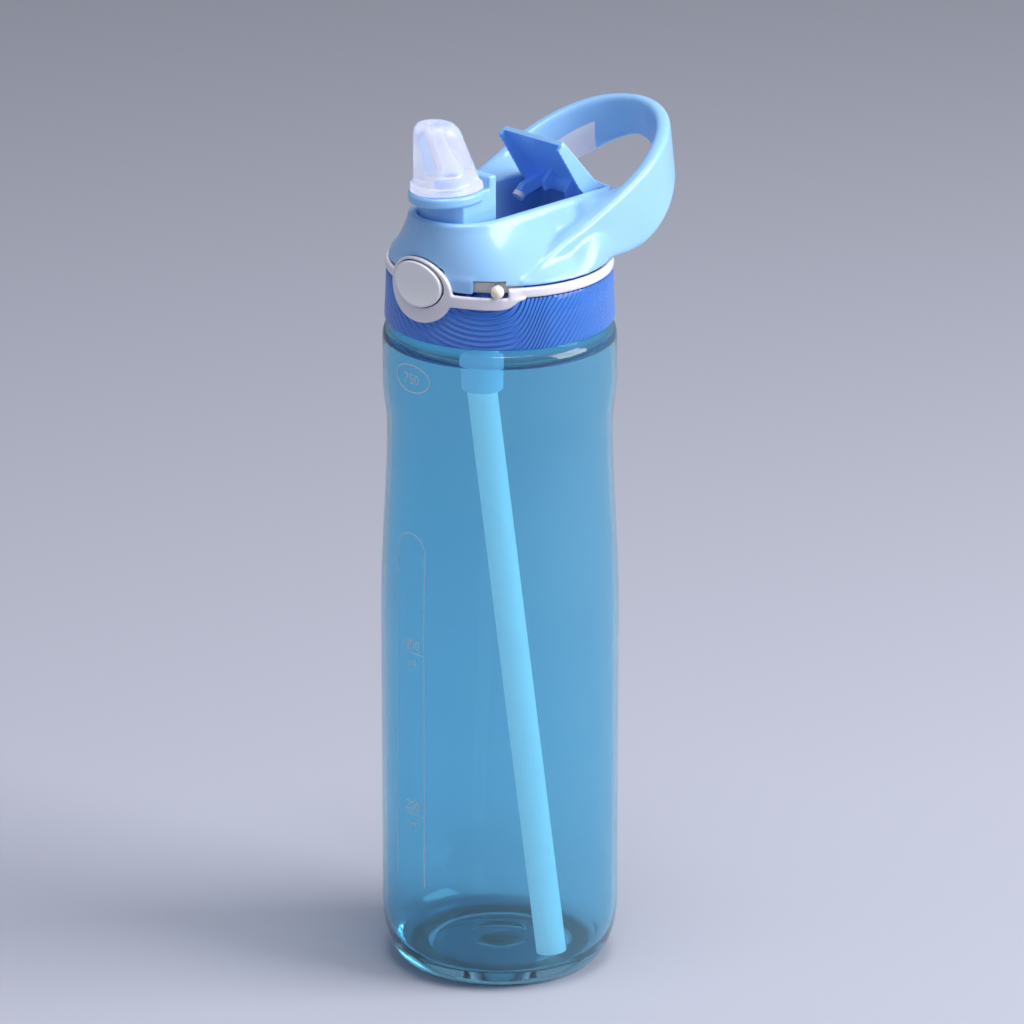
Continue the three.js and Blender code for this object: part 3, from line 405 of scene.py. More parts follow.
# painted glow: the socket's emission brightens it inside the clear body though it is no lamp
SOCKET = Finish("socket_silicone", tone(186, 222, 244), tone(166, 208, 236), 0.42, 0.06, 2.0, 0.015, glow=0.2,
                painted_glow=0.38)
# painted glow: the straw's emission brightens it inside the clear body though it is no lamp
STRAW = Finish("straw_tube", tone(238, 249, 254), tone(228, 244, 252), 0.3, 0.05, 1.0, 0.01, glow=0.35,
               painted_glow=0.3, ior=1.4)
STEEL = Finish("spring_wire", tone(196, 198, 204), tone(160, 164, 172), 0.28, 0.08, 3.0, 0.008,
               pattern=Grain.BRUSHED, metallic=1.0)
PRINT = Finish("scale_print", tone(196, 216, 228), tone(184, 206, 222), 0.5, 0.08, 3.0, 0.004)


# ------------------------------------------------------------------ finishing a piece
def finish_piece(name: str, bm: bmesh.types.BMesh, finish: Finish, body: str,
                 replaces: Sequence[str] = (), crease: float = 35.0) -> bpy.types.Object:
    """Turns a mesh in millimetres into a piece of the bottle.

    Args:
        name: the piece's name.
        bm: its mesh, which is used up.
        finish: its surface.
        body: the body it rides on.
        replaces: the nodes it stands for.
        crease: edges sharper than this many degrees stay sharp.

    Returns:
        The new object.
    """
    bmesh.ops.remove_doubles(bm, verts=bm.verts, dist=1e-4)
    bmesh.ops.recalc_face_normals(bm, faces=bm.faces)
    bmesh.ops.scale(bm, vec=(MM, MM, MM), verts=bm.verts)
    mesh = bpy.data.meshes.new(name)
    bm.to_mesh(mesh)
    bm.free()
    smooth(mesh, crease)
    piece = bpy.data.objects.new(name, mesh)
    bpy.context.scene.collection.objects.link(piece)
    mesh.materials.append(finish.material())
    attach(piece, body)
    if replaces:
        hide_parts(*replaces)
    LOG.info("made %s: %d faces", name, len(mesh.polygons))
    return piece


def smooth(mesh: bpy.types.Mesh, crease: float) -> None:
    """Shades a mesh smooth, with sharp edges past an angle in degrees."""
    mesh.polygons.foreach_set("use_smooth", [True] * len(mesh.polygons))
    mesh.set_sharp_from_angle(angle=math.radians(crease))


def scratch(name: str, build: Callable[[bmesh.types.BMesh], None]) -> bpy.types.Object:
    """Makes a throw-away object in metres from a function that fills its mesh."""
    bm = bmesh.new()
    build(bm)
    bmesh.ops.recalc_face_normals(bm, faces=bm.faces)
    bmesh.ops.scale(bm, vec=(MM, MM, MM), verts=bm.verts)
    mesh = bpy.data.meshes.new(name)
    bm.to_mesh(mesh)
    bm.free()
    made = bpy.data.objects.new(name, mesh)
    bpy.context.scene.collection.objects.link(made)
    return made


def settle(piece: bpy.types.Object) -> None:
    """Applies a piece's modifiers to its mesh."""
    bpy.context.view_layer.update()
    graph = bpy.context.evaluated_depsgraph_get()
    finished = bpy.data.meshes.new_from_object(piece.evaluated_get(graph))
    piece.modifiers.clear()
    piece.data = finished


def carve(piece: bpy.types.Object, operation: str, *tools: bpy.types.Object) -> None:
    """Cuts, joins or keeps what a piece shares with each tool, and throws the tools away.

    Args:
        piece: the object that changes.
        operation: DIFFERENCE, UNION or INTERSECT.
        tools: closed solids, which are deleted.
    """
    for tool in tools:
        cut = piece.modifiers.new("cut", "BOOLEAN")
        cut.operation = operation
        cut.solver = "EXACT"
        cut.object = tool
        settle(piece)
        bpy.data.objects.remove(tool)


def melt(piece: bpy.types.Object, voxel: float, rounds: int) -> None:
    """Fuses overlapping solids into one skin and softens its creases.

    Args:
        piece: the object that changes.
        voxel: size of the new skin's cells in millimetres.
        rounds: how many times the skin is relaxed.
    """
    remesh = piece.modifiers.new("fuse", "REMESH")
    remesh.mode = "VOXEL"
    remesh.voxel_size = voxel * MM * 1
    soften = piece.modifiers.new("soften", "SMOOTH")
    soften.factor = 0.5
    soften.iterations = rounds
    settle(piece)


def as_mesh(piece: bpy.types.Object) -> bmesh.types.BMesh:
    """Takes a scratch object's mesh back into millimetres and deletes the object."""
    bm = bmesh.new()
    bm.from_mesh(piece.data)
    bmesh.ops.scale(bm, vec=(1 / MM, 1 / MM, 1 / MM), verts=bm.verts)
    bpy.data.objects.remove(piece)
    return bm


def oval_rod(bm: bmesh.types.BMesh, half_x: float, half_z: float, height: float, y0: float, y1: float,
             sides: int = 72) -> None:
    """An oval rod along Y."""
    def section(y: float) -> list[Vector]:
        """The oval at one place along Y."""
        return [Vector((half_x * math.cos(a), y, height + half_z * math.sin(a)))
                for a in (2 * math.pi * k / sides for k in range(sides))]
    loft(bm, [section(y0), section(y1)])


def rod_x(bm: bmesh.types.BMesh, radius: float, x0: float, x1: float, y: float, z: float,
          sides: int = 40) -> None:
    """A round rod along X."""
    tube(bm, [Vector((x0, y, z)), Vector((x1, y, z))], radius, sides)


def dress_node(node: bpy.types.Object, finish: Finish) -> None:
    """Gives a solid that keeps its own shape a finish."""
    node.data.materials.clear()
    node.data.materials.append(finish.material())
    LOG.info("dressed %s", node.name)


# ------------------------------------------------------------------ the body and its print
@dataclass
class ClearBody:
    """The clear blow-moulded body with its waist, thick floor and threaded neck."""
    radius: float = 37.5
    shoulder: float = 212.4
    wall: float = 1.6
    waist_depth: float = 2.2
    waist_height: float = 179.4
    flare_height: float = 118.4
    grip_height: float = 193.4
    corner_height: float = 20.0
    corner_width: float = 8.5
    floor: float = 5.9
    neck_radius: float = 32.0
    neck_wall: float = 1.4
    neck_top: float = 224.0

    def radius_at(self, height: float) -> float:
        """The outer radius between the base corner and the shoulder."""
        if height <= self.flare_height:
            return self.radius
        if height <= self.waist_height:
            share = (height - self.flare_height) / (self.waist_height - self.flare_height)
            return self.radius - self.waist_depth * ease(share)
        share = (height - self.waist_height) / (self.grip_height - self.waist_height)
        return self.radius - self.waist_depth + 1.3 * ease(share)

    def outside(self) -> list[tuple[float, float]]:
        """The outer profile from the middle of the base to the neck's lip."""
        foot = self.radius - self.corner_width
        points = [(0, 0), (6.6, 0), (7.2, 0.15), (9, 1.6), (10, 1.8), (20, 1.8), (21.4, 1.6),
                  (22.8, 0.2), (23.2, 0), (foot, 0)]
        for i in range(1, 21):
            a = math.pi / 2 * i / 20
            points.append((foot + self.corner_width * math.sin(a), self.corner_height * (1 - math.cos(a))))
        top = self.shoulder - 5
        for i in range(1, 41):
            height = self.corner_height + (top - self.corner_height) * i / 40
            points.append((self.radius_at(height), height))
        width = self.radius_at(top) - self.neck_radius
        for i in range(1, 13):
            a = math.pi / 2 * i / 12
            points.append((self.neck_radius + width * math.cos(a) ** 0.6, self.shoulder - 5 * (1 - math.sin(a))))
        for rib in (216.2, 220.4):
            points += [(self.neck_radius, rib - 0.1), (self.neck_radius + 1, rib + 0.5),
                       (self.neck_radius + 1, rib + 1.5), (self.neck_radius, rib + 2)]
        return points + [(self.neck_radius, self.neck_top - 0.3), (self.neck_radius - 0.3, self.neck_top)]

    def inside(self) -> list[tuple[float, float]]:
        """The inner profile from the neck's lip to the dimple in the floor."""
        bore = self.neck_radius - self.neck_wall
        points = [(bore + 0.3, self.neck_top), (bore, self.neck_top - 0.3), (bore, self.shoulder - 1.5)]
        top = self.shoulder - 5
        for i in range(40, 0, -1):
            height = self.corner_height + (top - self.corner_height) * i / 40
            points.append((self.radius_at(height) - self.wall, height))
        edge = self.radius - self.wall - self.corner_width + 3.9
        for i in range(0, 13):
            a = math.pi / 2 * i / 12
            points.append((edge + (self.radius - self.wall - edge) * math.cos(a),
                           self.floor + (self.corner_height - self.floor) * (1 - math.sin(a))))
        return points + [(24, self.floor - 0.25), (10.6, self.floor - 0.2), (9.4, self.floor - 0.5),
                         (8.3, self.floor - 1.1), (5, self.floor - 1.2), (3.6, self.floor - 0.7),
                         (2.2, self.floor - 1.0), (0, self.floor - 0.6)]

    def build(self) -> bpy.types.Object:
        """Builds and dresses the body."""
        bm = bmesh.new()
        turn(bm, self.outside() + self.inside(), 160)
        return finish_piece("clear_body", bm, CLEAR, "bottle", ["bottle_body"], 50)


@dataclass
class VolumePrint:
    """The printed volume scale and capacity oval on the body's front."""
    body: ClearBody
    arc: float = -4.0
    half_width: float = 6.4
    window_foot: float = 33.0
    window_top: float = 150.0
    line: float = 0.16
    oval_height: float = 201.0
    oval_half_width: float = 7.6
    oval_half_height: float = 4.4

    def lay(self, bm: bmesh.types.BMesh) -> None:
        """Bends the flat print onto the body, a hair proud of it."""
        for corner in bm.verts:
            u, w, v = corner.co
            radius = self.body.radius_at(v) + 0.05 - w * 0.3
            corner.co = around(radius, self.arc + math.degrees(u / radius), v)

    def window(self) -> list[Vector]:
        """The rounded-top outline of the scale's window, drawn flat."""
        low = self.window_top - self.half_width
        path = [Vector((-self.half_width, 0, self.window_foot + (low - self.window_foot) * i / 24))
                for i in range(24)]
        path += [Vector((-self.half_width * math.cos(a), 0, low + self.half_width * math.sin(a)))
                 for a in (math.pi * k / 20 for k in range(21))]
        return path + [Vector((self.half_width, 0, low - (low - self.window_foot) * i / 24))
                       for i in range(1, 25)]

    def text(self, words: str, size: float, u: float, v: float) -> bmesh.types.BMesh:
        """Flat lettering as a mesh.

        Args:
            words: the figures to set.
            size: their height in millimetres.
            u: middle of the line across the print.
            v: foot of the line.

        Returns:
            The mesh, standing in XZ.
        """
        curve = bpy.data.curves.new("figures", "FONT")
        curve.body = words
        curve.size = size
        curve.align_x = "CENTER"
        curve.extrude = 0.05
        holder = bpy.data.objects.new("figures", curve)
        bpy.context.scene.collection.objects.link(holder)
        bpy.context.view_layer.update()
        flat = bpy.data.meshes.new_from_object(holder.evaluated_get(bpy.context.evaluated_depsgraph_get()))
        bpy.data.objects.remove(holder)
        bm = bmesh.new()
        bm.from_mesh(flat)
        bmesh.ops.rotate(bm, verts=bm.verts, cent=(0, 0, 0), matrix=Matrix.Rotation(math.pi / 2, 3, "X"))
        bmesh.ops.translate(bm, verts=bm.verts, vec=(u, 0, v))
        return bm

    def build(self) -> None:
        """Builds the scale's lines, the oval and the figures."""
        lines = bmesh.new()
        tube(lines, self.window(), self.line, 6)
        ring = [Vector((self.oval_half_width * math.cos(a) + 0.6, 0, self.oval_height
                        + self.oval_half_height * math.sin(a))) for a in (math.pi * k / 24 for k in range(48))]
        tube(lines, ring + ring[:1], self.line * 1.5, 6)
        for height in (111.0, 56.8):
            tube(lines, [Vector((self.half_width - 9.6 * k / 8, 0, height)) for k in range(9)], self.line, 6)
        self.lay(lines)
        finish_piece("volume_scale", lines, PRINT, "bottle")
        for name, words, size, u, v in (("capacity_figures", "750", 4.6, 0.6, self.oval_height - 1.6),
                                        ("upper_figures", "400", 4.4, 1.4, 112.4),
                                        ("upper_unit", "ml", 3.6, 1.4, 106.6),
                                        ("lower_figures", "200", 4.4, 1.4, 58.2),
                                        ("lower_unit", "ml", 3.6, 1.4, 52.4)):
            figures = self.text(words, size, u, v)
            self.lay(figures)
            finish_piece(name, figures, PRINT, "bottle")


# ------------------------------------------------------------------ the lid
@dataclass
class ScrewCollar:
    """The grooved screw collar with its deck; the parts inside the lid that keep their shape are dressed in main."""
    foot: float = 213.6
    top: float = 230.0
    bore: float = 33.4
    outer: float = 35.9
    outer_top: float = 35.3
    deck_foot: float = 228.0
    deck_bore: float = 25.4

    def build(self) -> None:
        """Builds the collar with its button hole and room for the spout's drum."""
        def shell(bm: bmesh.types.BMesh) -> None:
            """The turned collar."""
            turn(bm, [
                (self.bore, self.foot + 0.4), (self.bore + 0.4, self.foot), (self.outer - 0.5, self.foot),
                (self.outer - 0.1, self.foot + 0.4), (self.outer, self.foot + 1.2),
                (self.outer_top + 0.25, self.foot + 9), (self.outer_top, self.top - 0.5),
                (self.outer_top - 0.3, self.top), (self.deck_bore, self.top),
                (self.deck_bore, self.deck_foot), (self.bore, self.deck_foot), (self.bore, self.foot + 0.4)], 160)
        collar = scratch("collar", shell)
        carve(collar, "DIFFERENCE",
              scratch("button_hole", lambda bm: oval_rod(bm, 10.5, 7.5, 232.1, -45, -22)),
              scratch("drum_room", lambda bm: rod_x(bm, 8.2, -11, 11, -22, 235.8, 64)))
        finish_piece("screw_collar", as_mesh(collar), GRIP, "lid", ["lid_collar"], 30)


@dataclass
class TrimBand:
    """The pearl band with the button's bezel and the lock's plate."""
    inner: float = 33.4
    outer: float = 35.55
    foot: float = 230.3
    top: float = 233.4
    bezel_radius: float = 36.45
    button_height: float = 232.1
    hole_u: float = 10.5
    hole_v: float = 7.5
    bezel_u: float = 13.4
    bezel_v: float = 10.4
    bezel_drop: float = 2.0

    def bar(self, bm: bmesh.types.BMesh, start: float, end: float, steps: int,
            shape: Callable[[float], tuple[float, float, float, float]]) -> None:
        """A bar that runs round the lid.

        Args:
            bm: the mesh.
            start: angle it starts at.
            end: angle it ends at.
            steps: sections along it.
            shape: gives the inner and outer radius, foot and top at an angle.
        """
        sections = []
        for i in range(steps + 1):
            arc = start + (end - start) * i / steps
            inner, outer, foot, top = shape(arc)
            half_r, half_z = (outer - inner) / 2, (top - foot) / 2
            sections.append([around((inner + outer) / 2 + p, arc, (foot + top) / 2 + q)
                             for p, q in rounded_box(half_r, half_z, 0.6)])
        loft(bm, sections)

    def plate(self, arc: float) -> tuple[float, float, float, float]:
        """Section of the lock's plate: it hangs below the slot and climbs back to the band."""
        foot = follow([(6, 224.6), (14, 226.2), (22, 226.7), (44, 226.7), (50, 227.4), (54, 229.2),
                       (58, self.foot)], arc)
        return self.inner + 1.1, self.bezel_radius, foot, 230.6

    def slot_end(self, arc: float) -> tuple[float, float, float, float]:
        """Section of the band where it closes the slot's far end."""
        share = ease((arc - 49) / 8)
        return self.inner, self.bezel_radius - 0.9 * share, 228.6 + 1.7 * share, self.top

    def bezel(self, bm: bmesh.types.BMesh) -> None:
        """The oval rim round the button, thicker below, on the lid's round."""
        sections = []
        for k in range(96):
            a = 2 * math.pi * k / 96
            near = Vector((self.hole_u * math.cos(a), self.hole_v * math.sin(a)))
            far = Vector((self.bezel_u * math.cos(a), self.bezel_v * math.sin(a) - self.bezel_drop))
            middle, reach = (near + far) / 2, (far - near).length / 2
            outward = (far - near).normalized()
            section = []
            for p, q in rounded_box(reach, 0.95, 0.75):
                flat = middle + outward * p
                radius = self.bezel_radius - 0.95 + q
                section.append(around(radius, math.degrees(flat.x / self.bezel_radius),
                                      self.button_height + flat.y))
            sections.append(section)
        loft(bm, sections, joined=True)

    def build(self) -> None:
        """Builds the band, bezel and plate as one softened moulding."""
        def parts(bm: bmesh.types.BMesh) -> None:
            """The overlapping parts of the moulding."""
            self.bezel(bm)
            self.bar(bm, 8, 58, 50, self.plate)
            self.bar(bm, 49.5, 70, 24, self.slot_end)
            self.bar(bm, 56, 350, 200, lambda arc: (self.inner, self.outer, self.foot, self.top))
        band = scratch("band", parts)
        melt(band, 0.32, 6)
        carve(band, "DIFFERENCE",
              scratch("hole", lambda bm: oval_rod(bm, self.hole_u, self.hole_v, self.button_height, -45, -24)))
        finish_piece("pearl_trim", as_mesh(band), PEARL, "lid", ["trim_band"], 45)


@dataclass
class LidShell:
    """The domed shell, its spout well and the carry loop, moulded in one piece."""
    foot: float = 233.7
    rim: float = 251.8
    radius: float = 34.9
    wall: float = 2.0
    front: float = -33.1
    back: float = 36.4
    rim_half: float = 16.9
    lip_share: float = 0.9
    slope: float = 1.15
    back_shoulder: float = 4.5
    well_half: float = 14.0
    well_front: float = -30.2
    well_back: float = 33.5
    well_wall: float = 1.6
    loop_half: float = 29.2
    loop_back: float = 65.4
    loop_thickness: float = 4.6

    def rim_reach(self, c: float, s: float, inset: float) -> float:
        """Distance from the axis to the rim's outline in a direction (c, s)."""
        half = self.rim_half - inset
        side = half / max(abs(c), 1e-6)
        if s >= 0:
            return min(side, (self.back - inset) / max(s, 1e-6), math.hypot(self.back, 4))
        centre = -(self.front + self.rim_half)
        if side * -s <= centre:
            return side
        return centre * -s + math.sqrt(max(0.0, half * half - (centre * c) ** 2))

    def dome_section(self, share: float, inset: float, z0: float, z1: float) -> list[Vector]:
        """The dome's outline at a share of its height, drawn in by an inset."""
        section = []
        for k in range(160):
            a = 2 * math.pi * k / 160
            c, s = math.cos(a), math.sin(a)
            late = ease(s / 0.75)
            pull = min(1.0, share / self.lip_share) ** (self.slope + self.back_shoulder * late)
            reach = (self.radius - inset) * (1 - pull) + self.rim_reach(c, s, inset) * pull
            section.append(Vector((reach * c, reach * s, z0 + (z1 - z0) * share)))
        return section

    def stadium(self, half: float, front: float, back: float, z: float) -> list[Vector]:
        """The spout well's outline: a round front, straight sides and small back corners."""
        points = [Vector((-half * math.cos(a), front + half - half * math.sin(a), z))
                  for a in (math.pi * k / 40 for k in range(41))]
        for centre, start in ((half - 1.2, 0), (1.2 - half, 90)):
            points += [Vector((centre + 1.2 * math.cos(a), back - 1.2 + 1.2 * math.sin(a), z))
                       for a in (math.radians(start + 15 * k) for k in range(7))]
        return points

    def loop_sections(self) -> list[list[Vector]]:
        """Sections of the carry loop along its U, from one flank round to the other."""
        top_line = [(-19, 235.6), (-12, 239.0), (-5, 242.2), (2, 245.0), (9, 247.2), (16.4, 250.3),
                    (25.7, 254.3), (34, 258.4),
                    (42, 262.3), (50, 266.0), (58, 269.6), (63.1, 271.6)]
        foot_line = [(-19, 234.2), (26, 234.2), (33, 235.2), (40, 238.4), (47, 243.0), (53, 247.8),
                     (58, 251.8), (62, 256.6), (63.1, 258.6)]
        half = self.loop_half - self.loop_thickness / 2
        turn_y = self.loop_back - self.loop_half * 1.12
        reach = self.loop_back - self.loop_thickness / 2 - turn_y
        path = [(Vector((half, y, 0)), Vector((1, 0, 0)))
                for y in (-19 + (turn_y + 19) * i / 30 for i in range(30))]
        for k in range(97):
            a = math.pi * k / 96
            out = Vector((math.cos(a) / half, math.sin(a) / reach, 0)).normalized()
            path.append((Vector((half * math.cos(a), turn_y + reach * math.sin(a), 0)), out))
        path += [(Vector((-p.x, p.y, 0)), Vector((-1, 0, 0))) for p, _ in reversed(path[:30])]
        sections = []
        for point, out in path:
            top, foot = follow(top_line, point.y), follow(foot_line, point.y)
            lean = 0.10 * ease((point.y - 20) / 30)
            section = []
            for p, q in rounded_box(self.loop_thickness / 2, (top - foot) / 2, 1.5, 6):
                place = point + out * (p - q * lean)
                section.append(Vector((place.x, place.y, (top + foot) / 2 + q)))
            sections.append(section)
        return sections

    def build(self) -> None:
        """Builds the shell: dome, well, loop and the openings for the button and lock."""
        def dome(bm: bmesh.types.BMesh) -> None:
            """The solid dome with a rounded lip."""
            sections = [self.dome_section(i / 36, 0, self.foot, self.rim) for i in range(36)]
            for share, inset in ((0.985, 0.25), (0.998, 0.7), (1.0, 1.3)):
                sections.append(self.dome_section(share, inset, self.foot, self.rim))
            loft(bm, sections)

        def hollow(bm: bmesh.types.BMesh) -> None:
            """The space under the dome."""
            loft(bm, [self.dome_section(i / 12, self.wall, self.foot - 1, self.rim - self.wall)
                      for i in range(13)])

        def well(bm: bmesh.types.BMesh) -> None:
            """The well's outer skin."""
            grow = self.well_wall
            loft(bm, [self.stadium(self.well_half + grow, self.well_front - grow, self.well_back + grow, z)
                      for z in (self.foot - 2, self.rim + 1)])

        def well_skin(bm: bmesh.types.BMesh) -> None:
            """The well's walls up to the rim."""
            grow = self.well_wall
            loft(bm, [self.stadium(self.well_half + grow, self.well_front - grow, self.well_back + grow, z)
                      for z in (self.foot, self.rim - 0.5)])

        shell = scratch("shell", dome)
        carve(shell, "UNION", scratch("well_skin", well_skin))
        space = scratch("space", hollow)
        carve(space, "DIFFERENCE", scratch("well", well))
        carve(shell, "DIFFERENCE", space, scratch("pit", lambda bm: loft(bm, [
            self.stadium(self.well_half, self.well_front, self.well_back, z) for z in (self.foot - 4, self.rim + 4)])))
        bm = as_mesh(shell)
        loft(bm, self.loop_sections())
        self.webs(bm)
        TrimBand().bar(bm, 11, 31.4, 16, lambda arc: (self.radius - self.wall - 0.4, self.radius + 0.1,
                                                      230.95, 236.0))
        bmesh.ops.scale(bm, vec=(MM, MM, MM), verts=bm.verts)
        raw = bpy.data.meshes.new("shell")
        bm.to_mesh(raw)
        bm.free()
        shell = bpy.data.objects.new("shell", raw)
        bpy.context.scene.collection.objects.link(shell)
        melt(shell, 0.5, 26)
        self.open_up(shell)
        finish_piece("domed_shell", as_mesh(shell), SKY, "lid", ["lid_shell"], 42)
        self.inserts()

    def webs(self, bm: bmesh.types.BMesh) -> None:
        """Fills the hollow between the well's rim and the loop's arms."""
        ridge = [(-16, 237.4), (-8, 241.8), (2, 245.9), (9, 248.3), (16.4, 251.2), (25.7, 254.6), (36, 259.0)]
        start = [(-16, 24.0), (-8, 20.0), (2, 16.4), (26, 16.0), (32, 18.0), (37.5, 24.0)]
        for side in (-1, 1):
            rows = []
            for k in range(25):
                y = -16 + 53 * k / 24
                inner, high = follow(start, y), follow(ridge, y)
                low = 234.4 + 11.6 * ease((y - 22) / 16)
                edge = min(self.rim - 0.9, high - 0.4)
                outline = [(inner, min(edge, high - 1.0)), (26.4, high - 0.5), (28.2, high - 2.6),
                           (27.8, low), (inner, low)]
                rows.append([Vector((side * x, y, z)) for x, z in outline])
            loft(bm, rows)

    def open_up(self, shell: bpy.types.Object) -> None:
        """Cuts the button's room, the lock's slot and track, the catch's slot and the pins' bores."""
        def button_room(bm: bmesh.types.BMesh) -> None:
            """The oval room in front of the well."""
            oval_rod(bm, 11.3, 8.3, 232.1, -45, -22)

        room = scratch("button_room", button_room)
        keep = self.well_wall
        carve(room, "DIFFERENCE", scratch("well_front", lambda bm: loft(bm, [
            self.stadium(self.well_half + keep, self.well_front - keep, self.well_back + keep, z)
            for z in (220, 262)])))
        carve(shell, "DIFFERENCE", room,
              scratch("slot", lambda bm: TrimBand().bar(bm, 31.2, 48.4, 12, lambda arc: (24, 40, 230.6, 235.5))),
              scratch("track", lambda bm: TrimBand().bar(bm, 14, 61, 24, lambda arc: (30.1, 32.7, 230.0, 235.9))),
              scratch("catch", lambda bm: tube(bm, [Vector((7, -45, 235.8)), Vector((7, -22, 235.8))], 2.6, 24)),
              scratch("spout_bore", lambda bm: rod_x(bm, 1.8, -16.9, 16.9, -22, 235.8)),
              scratch("cover_bore", lambda bm: rod_x(bm, 1.8, -16.5, 16.5, 30.4, 249.4)))

    def inserts(self) -> None:
        """Builds the two pearl pads on the loop's inner face."""
        sections = self.loop_sections()
        count = len(sections)
        for name, side in (("right", 1), ("left", -1)):
            bm = bmesh.new()
            rows = []
            for i in range(28, 61):
                section = sections[i if side > 0 else count - 1 - i]
                middle = sum(section, Vector()) / len(section)
                top = max(p.z for p in section)
                foot = min(p.z for p in section)
                inward = Vector((0, 33.8, 0)) - Vector((middle.x, middle.y, 0))
                inward.normalize()
                face = self.loop_thickness / 2 - 0.75
                rows.append([
                    Vector((middle.x + inward.x * (face + p), middle.y + inward.y * (face + p), (top + foot) / 2 + q))
                    for p, q in rounded_box(0.9, (top - foot) / 2 - 0.7, 0.4)])
            loft(bm, rows)
            finish_piece(f"loop_pad_{name}", bm, PEARL, "lid", [f"loop_insert_{name}"], 40)


@dataclass
class ButtonAndLock:
    """The dished push button on its two coil springs, and the sliding lock with its knob."""
    radius: float = 37.1
    half_u: float = 10.2
    half_v: float = 7.2
    height: float = 232.1
    dish: float = 1.1
    depth: float = 2.4
    lock_arc: float = 44.0
    bar_outer: float = 32.3
    bar_inner: float = 30.5
    knob_height: float = 233.0
    knob_radius: float = 2.1

    def oval(self, share: float, sink: float) -> list[Vector]:
        """The button's outline scaled by a share and sunk below its round face."""
        points = []
        for k in range(96):
            a = 2 * math.pi * k / 96
            u, v = share * self.half_u * math.cos(a), share * self.half_v * math.sin(a)
            points.append(around(self.radius - sink, math.degrees(u / self.radius), self.height + v))
        return points

    def build(self) -> None:
        """Builds the button, its springs and the lock."""
        bm = bmesh.new()
        rows = [self.oval(s, self.depth) for s in (0.04, 0.5, 0.94)] + [self.oval(0.98, self.depth - 0.2)]
        rows += [self.oval(1.0, 0.9), self.oval(0.995, 0.45), self.oval(0.975, 0.12), self.oval(0.945, 0.0)]
        for step in range(1, 15):
            share = 0.93 * (1 - step / 14.3)
            rows.append(self.oval(share, self.dish * (1 - (share / 0.93) ** 2)))
        loft(bm, rows)
        # the button's finish carries painted shade
        finish_piece("dished_button", bm, BUTTON_PAINTED_SHADE, "button", ["push_button"], 50)
        self.springs()
        slider = bmesh.new()
        TrimBand().bar(slider, self.lock_arc - 18, self.lock_arc + 14, 20,
                       lambda arc: (self.bar_inner, self.bar_outer, 231.0, 234.8))
        tube(slider, [around(self.bar_outer - 0.6, self.lock_arc, self.knob_height),
                      around(self.radius - 0.2, self.lock_arc, self.knob_height)], 1.3, 24)
        centre = around(self.radius - 0.2, self.lock_arc, self.knob_height)
        bmesh.ops.create_uvsphere(slider, u_segments=40, v_segments=20, radius=self.knob_radius,
                                  matrix=Matrix.Translation(centre))
        finish_piece("lock_knob", slider, CREAM, "lock", ["lock_slider"], 50)

    def springs(self) -> None:
        """Builds the two coils behind the button."""
        for side, x in (("left", -4.5), ("right", 1.5)):
            low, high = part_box(f"button_spring_{side}")
            start, end = low.y / MM + 0.3, high.y / MM - 0.3
            path = [Vector((x + 1.25 * math.cos(a), start + (end - start) * i / 72, self.height - 0.4
                            + 1.25 * math.sin(a))) for i, a in ((i, 2 * math.pi * i / 24) for i in range(73))]
            bm = bmesh.new()
            tube(bm, path, 0.26, 10)
            coil = finish_piece(f"button_coil_{side}", bm, STEEL, "lid",
                                [f"button_spring_{side}"], 60)
            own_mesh(coil)


